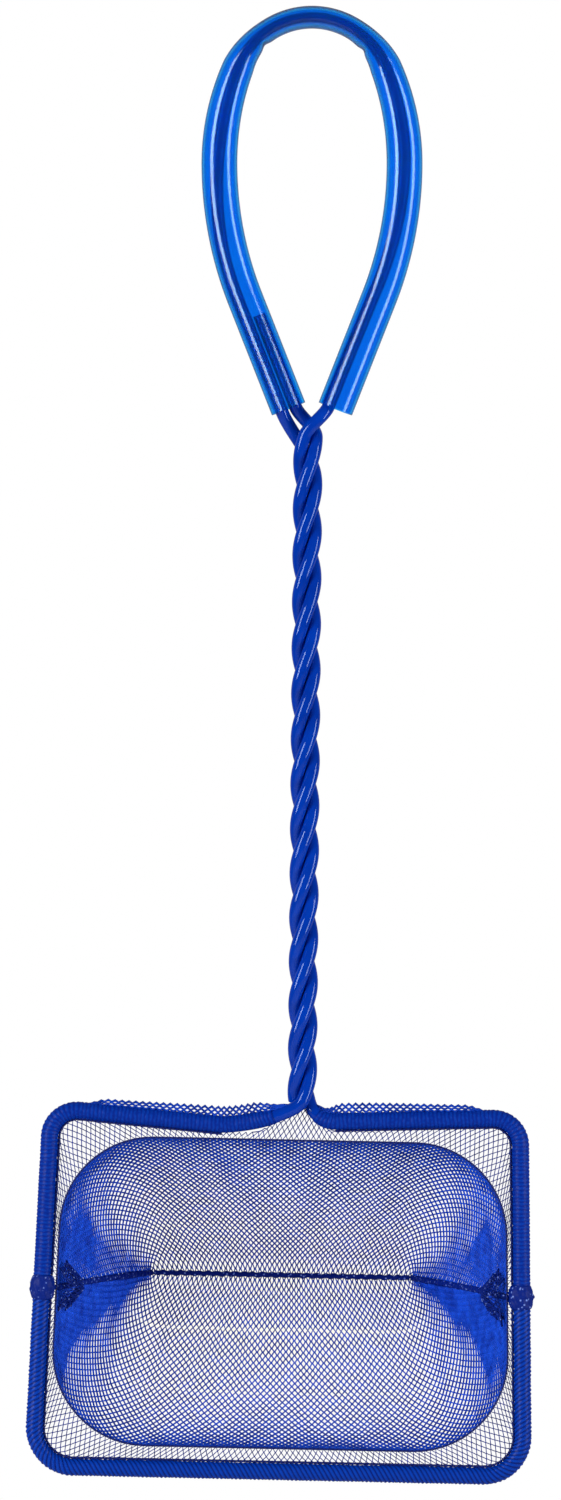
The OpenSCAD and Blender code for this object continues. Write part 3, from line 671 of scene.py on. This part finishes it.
def netPanels():
    for side, upper in (("upper", True), ("lower", False)):
        place, columns = brimPlace(upper)
        piece = finishMesh(side + "BrimNet", latticeMesh(columns, net["brimRows"], place), "frame",
                           [side + "_brim"], "net", "brimNet")
        threadWalls(piece, net["brimThread"], columns, net["brimRows"], net["pitch"], net["rowPitch"])
        place, columns, depths = wallPlace(upper)
        starts = [min(range(len(depths)), key=lambda i: abs(depths[i] - end)) for end in zoneEnds[:-1]]
        starts = [0] + starts + [len(depths) - 1]
        for zone, name in enumerate(zoneNames):
            low, high = starts[zone], starts[zone + 1]
            bm = latticeMesh(columns, high - low, lambda column, row: place(column, row + low))
            piece = finishMesh(side + name.capitalize() + "Net", bm, None, [side + "_" + name], "net")
            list(bodiesOf(zone))
            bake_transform(piece)
            threadWalls(piece, net["thread"], columns, high - low, net["wallPitch"], net["wallRowPitch"])


netPanels()
print("net done")


# seams, stitches and trimmings of the net

trim = {
    "creaseRadius": 0.2, "creaseSpacing": 0.8, "threadInset": 1.78, "threadRadius": 0.2, "threadSides": 8,
    "threadSpacing": 0.3, "stitchPitch": 1.6, "stitchHeight": 0.06,
}
gather = {
    "half": 2.5, "bore": 1.72, "wall": 0.5, "endWall": 0.08, "endRound": 0.5, "folds": 11, "foldLean": 2.2,
    "foldShare": 0.3, "lumpShare": 0.4, "outwardShare": 0.7, "spacing": 0.2, "sides": 48,
}
seam = {
    "radius": 0.55, "rollPitch": 1.9, "rollShare": 0.22, "lumpShare": 0.3, "spacing": 0.35, "sides": 12,
    "inset": 0.5, "front": 0.3, "back": 0.8, "endInset": 0.6, "endBack": 0.9,
}
fold = {
    "pitch": 1.2, "rows": 11, "thread": 0.4, "inset": 0.6, "behind": 0.3, "spread": 5, "spreadLoss": 0.25,
    "raggedShare": 0.5, "raggedLength": 2.5, "raggedSeed": 7, "bulge": 4.2, "bulgeRound": 0.8,
    "bulgeLead": 1, "height": 0.45, "pleats": 5, "pleatLean": 0.9, "pleatDrift": 2, "pleatLength": 3,
}
edging = {
    "foot": 1.3, "pitch": 1.4, "rows": 2, "low": 1.5, "high": 2.4, "thread": 0.62, "reach": 6,
    "forward": 0.4, "riseShare": 1.3, "neckLoops": 6, "neckShare": 0.1, "farLoops": 4,
}


def hoopPlaces(line, y=0):
    return placesOn([fromHoop(point.x, point.y, y) for point in line])


def stitched(length, turn):
    stitch = abs(math.sin(math.pi * length / trim["stitchPitch"]))
    return trim["threadRadius"] + trim["stitchHeight"] * stitch


# a dark thread along the fold at the bag's mouth: partly the doubled net at the fold, partly painted shade
mouthOval = sectionLine(True, 0) + list(reversed(sectionLine(False, 0)))[1:]
oval = hoopPlaces(evenly(mouthOval, trim["creaseSpacing"]))
bm = rodMesh(oval, lambda length, turn: trim["creaseRadius"], trim["threadSides"])
finishMesh("mouthFoldShadeLine", bm, "frame", slot="stitching")
upperStitches = hoopArc(True, trim["threadInset"], gather["half"])
for name, node, line in (
    ("upperHemThreadLeft", "upper_hem_thread_left", upperStitches[:cornerCount + 2]),
    ("upperHemThreadRight", "upper_hem_thread_right", upperStitches[cornerCount + 2:]),
    ("lowerHemThread", "lower_hem_thread", hoopArc(False, trim["threadInset"], gather["half"])),
):
    bm = rodMesh(hoopPlaces(evenly(line, trim["threadSpacing"])), stitched, trim["threadSides"])
    finishMesh(name, bm, "frame", [node], "stitching")


def joinShapes(shapes):  # several bmeshes as one
    mesh = bpy.data.meshes.new("part")
    joined = bmesh.new()
    for shape in shapes:
        shape.to_mesh(mesh)
        shape.free()
        joined.from_mesh(mesh)
    bpy.data.meshes.remove(mesh)
    return joined


def gatherRadius(length, turn):  # bunched folds round the hem, drawn in at both ends
    ends = math.sin(math.pi * min(1, max(0, length / (2 * gather["half"])))) ** gather["endRound"]
    folds = 0.5 + 0.5 * math.sin(gather["folds"] * turn + gather["foldLean"] * length)
    lumps = noise.noise(Vector((length, 2 * math.cos(turn), 2 * math.sin(turn))))
    outward = 1 + gather["outwardShare"] * abs(math.sin(turn))
    bunched = 1 - gather["foldShare"] * (1 - folds) + gather["lumpShare"] * lumps
    return gather["bore"] + gather["endWall"] + ends * gather["wall"] * outward * bunched


gathers = []
for side in (-1, 1):
    ends = [onSide(side, 0, seamZ + low) for low in (-gather["half"], gather["half"])]
    places = hoopPlaces(evenly(ends, gather["spacing"]))
    gathers.append(rodMesh(places, gatherRadius, gather["sides"], gather["bore"]))
finishMesh("seamGathers", joinShapes(gathers), "frame", ["seam_gathers"], "stitching", "bunchedNet")


def seamRadiusAt(length, turn):  # a rolled seam with bunched folds along it
    rolls = math.sin(2 * math.pi * length / seam["rollPitch"] + turn)
    lumps = noise.noise(Vector((length, math.cos(turn), math.sin(turn))))
    return seam["radius"] * (1 + seam["rollShare"] * rolls + seam["lumpShare"] * lumps)


def seamRod(line):
    return rodMesh(placesOn(evenly(line, seam["spacing"])), seamRadiusAt, seam["sides"])


def sideSeam(side, front, back):
    count = max(2, round(back - front))
    line = []
    for i in range(count + 1):
        depth = mix(front, back, i / count)
        x = side * (halfWidth(seamZ, depth) - seam["inset"]) - hoop["shift"]
        line.append(fromHoop(x, seamZ, depth))
    return seamRod(line)


def endSeamShape():
    half = halfWidth(seamZ, net["depth"]) - seam["endInset"]
    depth = net["depth"] - seam["endBack"]
    return seamRod([fromHoop(-hoop["shift"] + half * share, seamZ, depth) for share in (-1, 1)])


def foldPlace(side, front, back, columns):  # spare net, bunched at the gather, that fades out on the seam
    def place(column, row):
        depth = mix(front, back, column / columns)
        share = (row / fold["rows"] - 0.5) * 2
        rough = noise.noise(Vector((depth / fold["raggedLength"], side, fold["raggedSeed"] * (share > 0))))
        spread = fold["spread"] * (1 + fold["raggedShare"] * rough)
        z = seamZ + share * spread * (1 - fold["spreadLoss"] * depth / back)
        middle = math.sin(math.pi * min(1, (depth + fold["bulgeLead"]) / (back + 2 * fold["bulgeLead"])))
        bulge = fold["bulge"] * (1 - abs(share)) ** fold["bulgeRound"] * middle
        drift = noise.noise(Vector((depth / fold["pleatLength"], share, side)))
        pleat = math.sin(fold["pleats"] * share + fold["pleatLean"] * depth + fold["pleatDrift"] * drift)
        x = side * (halfWidth(z, depth) - fold["inset"] - bulge - fold["height"] * pleat) - hoop["shift"]
        return fromHoop(x, z, depth + fold["behind"]), depth, z
    return place


def throatFolds(front, back):
    columns = round((back - front) / fold["pitch"])
    shapes = [latticeMesh(columns, fold["rows"], foldPlace(side, front, back, columns)) for side in (-1, 1)]
    piece = finishMesh("throatFolds", joinShapes(shapes), None, (), "net", "bunchedNet")
    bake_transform(piece)
    threadWalls(piece, fold["thread"], columns, 2 * fold["rows"], fold["pitch"], fold["pitch"])


seamFronts = [seam["front"]] + zoneEnds[:-1]
for zone, name in enumerate(zoneNames):
    back = min(zoneEnds[zone], net["depth"] - seam["back"])
    shapes = [sideSeam(side, seamFronts[zone], back) for side in (-1, 1)]
    node = name + "_seams"
    if name == "end":
        shapes.append(endSeamShape())
        node = "end_seam"
    piece = finishMesh(name + "Seams", joinShapes(shapes), None, [node], "stitching", "bunchedNet")
    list(bodiesOf(zone))
    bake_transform(piece)
    if name == "throat":
        throatFolds(seamFronts[zone], back)


def selvage(name, line, neckFirst):  # the net's own edge, standing up on the top hem, highest near the neck
    places = placesOn(evenly(line, edging["pitch"]))
    last = len(places) - 1

    def place(column, row):
        point, back, beside = places[column]
        toNeck = 1 - column / last if neckFirst else column / last
        tall = mix(edging["low"], edging["high"], ease(toNeck * edging["riseShare"]))
        tall *= ease((1 - toNeck) * last / edging["neckLoops"] + edging["neckShare"])
        tall *= ease(toNeck * last / edging["farLoops"])
        up = edging["foot"] + tall * row / edging["rows"]
        return point + up * beside - edging["forward"] * back, column, row

    piece = finishMesh(name, latticeMesh(last, edging["rows"], place), "frame", (), "net", "selvageNet")
    rowHeight = edging["high"] / edging["rows"]
    threadWalls(piece, edging["thread"], last, edging["rows"], edging["pitch"], rowHeight)


reachOn = neckSpare + edging["reach"]
selvage("selvageLeft", upperLeft[-1:] + [leftLow] + secondNeck[1:reachOn], False)
selvage("selvageRight", firstNeck[-reachOn:] + upperRight[:1], True)
print("trimmings done")


# cloth sizes: what each net piece was cut to before it was gathered, and what holds it

def asSheet(name, held):
    wide, long, area, spanned = cutSizes[name]
    if held == "stretched":  # no spare cloth: the brim's widest place, and just the area that it spans
        long, area = net["brimWidest"] * mm, spanned


asSheet("upperBrimNet", "stretched")
asSheet("lowerBrimNet", "stretched")
for side in ("upper", "lower"):
    for zone in zoneNames:
        joined = [zone + "Seams"] if side == "lower" else []
        if joined and zone == "throat":
            joined.append("throatFolds")
        name = side + zone.capitalize() + "Net"
        asSheet(name, "gathered")


# materials

def linear(code):
    channels = [int(code[i:i + 2], 16) / 255 for i in (1, 3, 5)]
    return [c / 12.92 if c <= 0.04045 else ((c + 0.055) / 1.055) ** 2.4 for c in channels] + [1]


def addNode(tree, kind, inputs=None, to=None, out=None, **settings):  # gives back the output that is used
    node = tree.nodes.new(kind)
    for key, value in settings.items():
        setattr(node, key, value)
    for key, value in (inputs or {}).items():
        if isinstance(value, bpy.types.NodeSocket):
            tree.links.new(value, node.inputs[key])
        else:
            node.inputs[key].default_value = value
    result = node.outputs[out] if out else next(socket for socket in node.outputs if socket.enabled)
    if to:
        tree.links.new(result, to)
    return result


def newMaterial(name, roughness, ior=1.5, specular=0.5):
    material = bpy.data.materials.new(name)
    material.use_nodes = True
    shader = material.node_tree.nodes["Principled BSDF"]
    shader.inputs["Roughness"].default_value = roughness
    shader.inputs["IOR"].default_value = ior
    shader.inputs["Specular IOR Level"].default_value = specular
    return material, material.node_tree, shader.inputs


# soft PVC, extruded over the wire: evenly dyed and glossy, with a faint unevenness in its skin that is
# drawn coarser than it is, so that it shows
def extrudedVinyl(name, low, high):
    material, tree, shader = newMaterial(name, 0.06, 1.53, 0.5)
    shader["Specular Tint"].default_value = linear("#c8e0ff")
    where = addNode(tree, "ShaderNodeTexCoord", out="Object")
    dye = addNode(tree, "ShaderNodeTexNoise", {"Vector": where, "Scale": 1 / (5 * mm), "Detail": 3})
    colours = {0: dye, 6: linear(low), 7: linear(high)}
    addNode(tree, "ShaderNodeMix", colours, shader["Base Color"], data_type="RGBA")
    skin = addNode(tree, "ShaderNodeTexNoise", {"Vector": where, "Scale": 1 / (0.7 * mm), "Detail": 3})
    gloss = {"Value": skin, "To Min": 0.03, "To Max": 0.1}
    addNode(tree, "ShaderNodeMapRange", gloss, shader["Roughness"])
    relief = {"Height": skin, "Distance": 0.02 * mm, "Strength": 0.4}
    addNode(tree, "ShaderNodeBump", relief, shader["Normal"])
    return material


# cold drawn mild steel: grey and fine-grained, its grain drawn coarser than it is
def drawnSteel():
    material, tree, shader = newMaterial("drawnSteel", 0.35)
    shader["Metallic"].default_value = 1
    where = addNode(tree, "ShaderNodeTexCoord", out="Object")
    skin = addNode(tree, "ShaderNodeTexNoise", {"Vector": where, "Scale": 1 / (0.3 * mm), "Detail": 4})
    colours = {0: skin, 6: linear("#8f949b"), 7: linear("#b4b8bd")}
    addNode(tree, "ShaderNodeMix", colours, shader["Base Color"], data_type="RGBA")
    relief = {"Height": skin, "Distance": 0.01 * mm, "Strength": 0.5}
    addNode(tree, "ShaderNodeBump", relief, shader["Normal"])
    return material


# clear-dyed soft PVC tube: light goes through it, so it is brightest where no wire lies behind, and
# darker at its rims, where the way through the wall is longer
def clearVinyl():
    material, tree, shader = newMaterial("translucentVinylSleeve", 0.08, 1.53, 1)
    shader["Transmission Weight"].default_value = 0.97
    shader["Specular Tint"].default_value = linear("#e8f4ff")
    where = addNode(tree, "ShaderNodeTexCoord", out="Object")
    dye = addNode(tree, "ShaderNodeTexNoise", {"Vector": where, "Scale": 1 / (9 * mm), "Detail": 2})
    colours = {0: dye, 6: linear("#009af4"), 7: linear("#00aefc")}
    tint = addNode(tree, "ShaderNodeMix", colours, data_type="RGBA")
    slant = addNode(tree, "ShaderNodeLayerWeight", {"Blend": 0.5}, out="Facing")
    rim = addNode(tree, "ShaderNodeMapRange", {"Value": slant, "From Min": 0.45, "From Max": 0.85})
    colours = {0: rim, 6: tint, 7: linear("#003a9c")}
    addNode(tree, "ShaderNodeMix", colours, shader["Base Color"], data_type="RGBA")
    skin = addNode(tree, "ShaderNodeTexNoise", {"Vector": where, "Scale": 1 / (5 * mm), "Detail": 1})
    gloss = {"Value": skin, "To Min": 0.08, "To Max": 0.15}
    addNode(tree, "ShaderNodeMapRange", gloss, shader["Roughness"])
    relief = {"Height": skin, "Distance": 0.02 * mm, "Strength": 0.05}
    addNode(tree, "ShaderNodeBump", relief, shader["Normal"])
    return material


# knitted net folded over the wire and pulled tight: its courses show as faint bars
def foldedHem():
    material, tree, shader = newMaterial("foldedNetHem", 0.4, 1.5, 0.12)
    cloth = addNode(tree, "ShaderNodeUVMap", uv_map="UVMap")
    bars = addNode(tree, "ShaderNodeTexWave", {
        "Vector": cloth, "Scale": math.pi / 10 / (hem["barPitch"] * mm), "Distortion": 3, "Detail": 2})
    loops = addNode(tree, "ShaderNodeTexVoronoi", {"Vector": cloth, "Scale": 1 / (0.75 * mm)})
    relief = addNode(tree, "ShaderNodeMath", {0: bars, 1: loops}, operation="MULTIPLY")
    share = addNode(tree, "ShaderNodeMapRange", {"Value": relief, "From Max": 0.5})
    colours = {0: share, 6: linear("#002690"), 7: linear("#003aac")}
    addNode(tree, "ShaderNodeMix", colours, shader["Base Color"], data_type="RGBA")
    bump = {"Height": relief, "Distance": 0.12 * mm, "Strength": 0.8}
    addNode(tree, "ShaderNodeBump", bump, shader["Normal"])
    return material


# the same hem where it is wound round the wire: slanting ribs with shallow grooves between them. Its colour
# is dark navy in the grooves and bright blue on the crests: painted shade in the grooves, painted light on
# the crests
def ribbedHem():
    material, tree, shader = newMaterial("ribbedNetHem", 0.36, 1.5, 0.14)
    cloth = addNode(tree, "ShaderNodeUVMap", uv_map="UVMap")
    lean = hem["ribLean"] * hem["ribPitch"] / math.pi / hemRadius
    slant = addNode(tree, "ShaderNodeVectorMath", {0: cloth, 1: (1, lean, 0)}, operation="DOT_PRODUCT")
    ribRate = math.pi / (hem["ribPitch"] * mm)
    ribs = addNode(tree, "ShaderNodeMath", {0: slant, 1: ribRate}, operation="MULTIPLY")
    wave = addNode(tree, "ShaderNodeMath", {0: ribs}, operation="SINE")
    high = addNode(tree, "ShaderNodeMath", {0: wave}, operation="ABSOLUTE")
    # painted shade and painted light: the colour follows the ribs, dark in the grooves, light on the crests
    colours = {0: high, 6: linear("#001468"), 7: linear("#0040b8")}
    addNode(tree, "ShaderNodeMix", colours, shader["Base Color"], data_type="RGBA")
    loops = addNode(tree, "ShaderNodeTexVoronoi", {"Vector": cloth, "Scale": 1 / (0.6 * mm)})
    relief = {"Height": loops, "Distance": 0.06 * mm, "Strength": 0.6}
    addNode(tree, "ShaderNodeBump", relief, shader["Normal"])
    return material


# drawn nylon yarn, knitted: a slight sheen, darker in patches; its fibres are drawn coarser than they are
def knittedNylon(name, low, high):
    material, tree, shader = newMaterial(name, 0.5, 1.53, 0.15)
    where = addNode(tree, "ShaderNodeTexCoord", out="Object")
    yarn = addNode(tree, "ShaderNodeTexNoise", {"Vector": where, "Scale": 1 / (3 * mm), "Detail": 4})
    share = addNode(tree, "ShaderNodeMapRange", {"Value": yarn, "From Min": 0.3, "From Max": 0.7})
    colours = {0: share, 6: linear(low), 7: linear(high)}
    addNode(tree, "ShaderNodeMix", colours, shader["Base Color"], data_type="RGBA")
    fibres = addNode(tree, "ShaderNodeTexNoise", {"Vector": where, "Scale": 1 / (0.2 * mm), "Detail": 3})
    relief = {"Height": fibres, "Distance": 0.05 * mm, "Strength": 0.7}
    addNode(tree, "ShaderNodeBump", relief, shader["Normal"])
    return material


# the same net, bunched: deep blue, with small pale meshes showing between the folds
def bunchedNylon():
    material, tree, shader = newMaterial("bunchedNylonNet", 0.5, 1.53, 0.15)
    where = addNode(tree, "ShaderNodeTexCoord", out="Object")
    meshes = addNode(tree, "ShaderNodeTexVoronoi", {"Vector": where, "Scale": 1 / (0.9 * mm)})
    share = addNode(tree, "ShaderNodeMapRange", {"Value": meshes, "From Min": 0.12, "From Max": 0.3})
    colours = {0: share, 6: linear("#7f9cf0"), 7: linear("#002284")}
    addNode(tree, "ShaderNodeMix", colours, shader["Base Color"], data_type="RGBA")
    relief = {"Height": meshes, "Distance": 0.15 * mm, "Strength": 0.8}
    addNode(tree, "ShaderNodeBump", relief, shader["Normal"])
    return material


# twisted polyester sewing thread: its twist shows as slanting grooves
def sewingThread():
    material, tree, shader = newMaterial("twistedSewingThread", 0.55, 1.5, 0.3)
    along = addNode(tree, "ShaderNodeUVMap", uv_map="UVMap")
    twist = addNode(tree, "ShaderNodeTexWave", {
        "Vector": along, "Scale": math.pi / 5 / (0.8 * mm), "Distortion": 0.6}, bands_direction="DIAGONAL")
    colours = {0: twist, 6: linear("#020a48"), 7: linear("#0a2484")}
    addNode(tree, "ShaderNodeMix", colours, shader["Base Color"], data_type="RGBA")
    relief = {"Height": twist, "Distance": 0.08 * mm, "Strength": 0.8}
    addNode(tree, "ShaderNodeBump", relief, shader["Normal"])
    return material


finishes = {
    "coat": extrudedVinyl("extrudedVinylCoat", "#002c98", "#0042c4"),
    "paintedShadeCoat": extrudedVinyl("vinylCoatPaintedShade", "#00187c", "#0028a8"),  # painted shade: a darker copy of the coat, as little light reaches it under the sleeve
    "core": drawnSteel(),
    "sleeve": clearVinyl(),
    "hem": foldedHem(),
    "ribbedHem": ribbedHem(),
    # the walls' net is the brim's yarn in a lighter blue: painted light, for walls that the lamps light
    # little
    "net": knittedNylon("knittedNylonNet", "#0838b4", "#1a5cf0"),
    "brimNet": knittedNylon("stretchedNylonNet", "#00186a", "#1034a8"),
    "selvageNet": knittedNylon("netSelvage", "#00309c", "#0848cc"),
    "bunchedNet": bunchedNylon(),
    "stitching": sewingThread(),
}
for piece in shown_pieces():
    finish = finishOf.get(piece.name)
    if finish:
        piece.data.materials.append(finishes[finish])
print("materials done")


# floor, light and camera

stageSetup = {
    "floorZ": -335, "floorRadius": 420, "floorSides": 96, "fadeFrom": 0.45, "fadeTo": 0.98,
    "floorGlow": 0.45, "sky": 0.27, "glossSky": 0.04, "glossBehind": 0.25, "lampTarget": (0, 0, -150),
    "cameraDistance": 1800, "frameX": -6.41, "frameZ": -146.9, "frameHeight": 305.4, "sensor": 36,
    "farthest": 20000,
}
lamps = {  # watts beside millimetres
    "leftSoftbox": {"power": 12, "wide": 450, "high": 900, "place": (-1000, -800, -20)},
    "rightSoftbox": {"power": 10, "wide": 380, "high": 1200, "place": (1100, -600, -150)},
}


# pale matt paper that glows a little to the camera and fades out at its rim, so that no edge shows
def paleFloor():
    material, tree, shader = newMaterial("mattPaperFloor", 0.8, 1.5, 0.2)
    where = addNode(tree, "ShaderNodeTexCoord", out="Object")
    pulp = addNode(tree, "ShaderNodeTexNoise", {"Vector": where, "Scale": 1 / (60 * mm)})
    colours = {0: pulp, 6: linear("#f1f2f4"), 7: linear("#f4f5f7")}
    addNode(tree, "ShaderNodeMix", colours, shader["Base Color"], data_type="RGBA")
    grain = addNode(tree, "ShaderNodeTexNoise", {"Vector": where, "Scale": 1 / (2 * mm)})
    relief = {"Height": grain, "Distance": 0.05 * mm, "Strength": 0.2}
    addNode(tree, "ShaderNodeBump", relief, shader["Normal"])
    seen = {0: addNode(tree, "ShaderNodeLightPath", out="Is Camera Ray"), 1: stageSetup["floorGlow"]}
    addNode(tree, "ShaderNodeMath", seen, shader["Emission Strength"], operation="MULTIPLY")
    shader["Emission Color"].default_value = linear("#f4f5f7")
    flat = addNode(tree, "ShaderNodeVectorMath", {0: where, 1: (1, 1, 0)}, operation="MULTIPLY")
    reachOut = addNode(tree, "ShaderNodeVectorMath", {0: flat}, operation="LENGTH")
    low, high = (stageSetup["floorRadius"] * mm * stageSetup[end] for end in ("fadeFrom", "fadeTo"))
    rim = {"Value": reachOut, "From Min": low, "From Max": high}
    fade = addNode(tree, "ShaderNodeMapRange", rim, interpolation_type="SMOOTHSTEP")
    clear = addNode(tree, "ShaderNodeBsdfTransparent")
    paper = tree.nodes["Principled BSDF"].outputs["BSDF"]
    surface = tree.nodes["Material Output"].inputs["Surface"]
    addNode(tree, "ShaderNodeMixShader", {0: fade, 1: paper, 2: clear}, surface)
    return material


bm = bmesh.new()
radius = stageSetup["floorRadius"] * mm
bmesh.ops.create_circle(bm, cap_ends=True, segments=stageSetup["floorSides"], radius=radius)
bmesh.ops.translate(bm, verts=bm.verts, vec=(0, 0, stageSetup["floorZ"] * mm))
floor = finishMesh("floor", bm, None)
floor.data.materials.append(paleFloor())

# a room that the camera sees white; it is much dimmer in a glossy surface, most of all on the side of
# the lamps, so that their highlights stand out
world = bpy.data.worlds.new("studio")
bpy.context.scene.world = world
world.use_nodes = True
tree = world.node_tree
background = tree.nodes["Background"].inputs
aim = addNode(tree, "ShaderNodeTexCoord", out="Generated")
heading = addNode(tree, "ShaderNodeSeparateXYZ", {0: aim}, out="Y")
behind = addNode(tree, "ShaderNodeMapRange", {
    "Value": heading, "From Min": 0.1, "From Max": 0.6, "To Max": stageSetup["glossBehind"]})
glossy = addNode(tree, "ShaderNodeLightPath", out="Is Glossy Ray")
level = addNode(tree, "ShaderNodeMath", {0: glossy, 1: behind}, operation="MULTIPLY")
for ray in ("Is Camera Ray", "Is Transmission Ray"):
    seen = addNode(tree, "ShaderNodeLightPath", out=ray)
    level = addNode(tree, "ShaderNodeMath", {0: level, 1: seen}, operation="MAXIMUM")
front = addNode(tree, "ShaderNodeMapRange", {
    "Value": glossy, "To Min": stageSetup["sky"], "To Max": stageSetup["glossSky"]})
addNode(tree, "ShaderNodeMath", {0: level, 1: front}, background["Strength"], operation="MAXIMUM")
background["Color"].default_value = (1, 1, 1, 1)

for name, setup in lamps.items():
    lamp = bpy.data.lights.new(name, "AREA")
    lamp.shape = "RECTANGLE"
    lamp.size, lamp.size_y = setup["wide"] * mm, setup["high"] * mm
    lamp.energy = setup["power"]
    softbox = bpy.data.objects.new(name, lamp)
    bpy.context.scene.collection.objects.link(softbox)
    softbox.location = Vector(setup["place"]) * mm
    away = Vector(stageSetup["lampTarget"]) * mm - softbox.location
    softbox.rotation_euler = away.to_track_quat("-Z", "Y").to_euler()

cameraData = bpy.data.cameras.new("camera")
cameraData.sensor_width = stageSetup["sensor"]
cameraData.lens = stageSetup["sensor"] * stageSetup["cameraDistance"] / stageSetup["frameHeight"]
cameraData.clip_end = stageSetup["farthest"] * mm
camera = bpy.data.objects.new("camera", cameraData)
bpy.context.scene.collection.objects.link(camera)
camera.location = Vector((stageSetup["frameX"], -stageSetup["cameraDistance"], stageSetup["frameZ"])) * mm
camera.rotation_euler = (math.pi / 2, 0, 0)
bpy.context.scene.camera = camera
bpy.context.scene.view_settings.view_transform = "Standard"
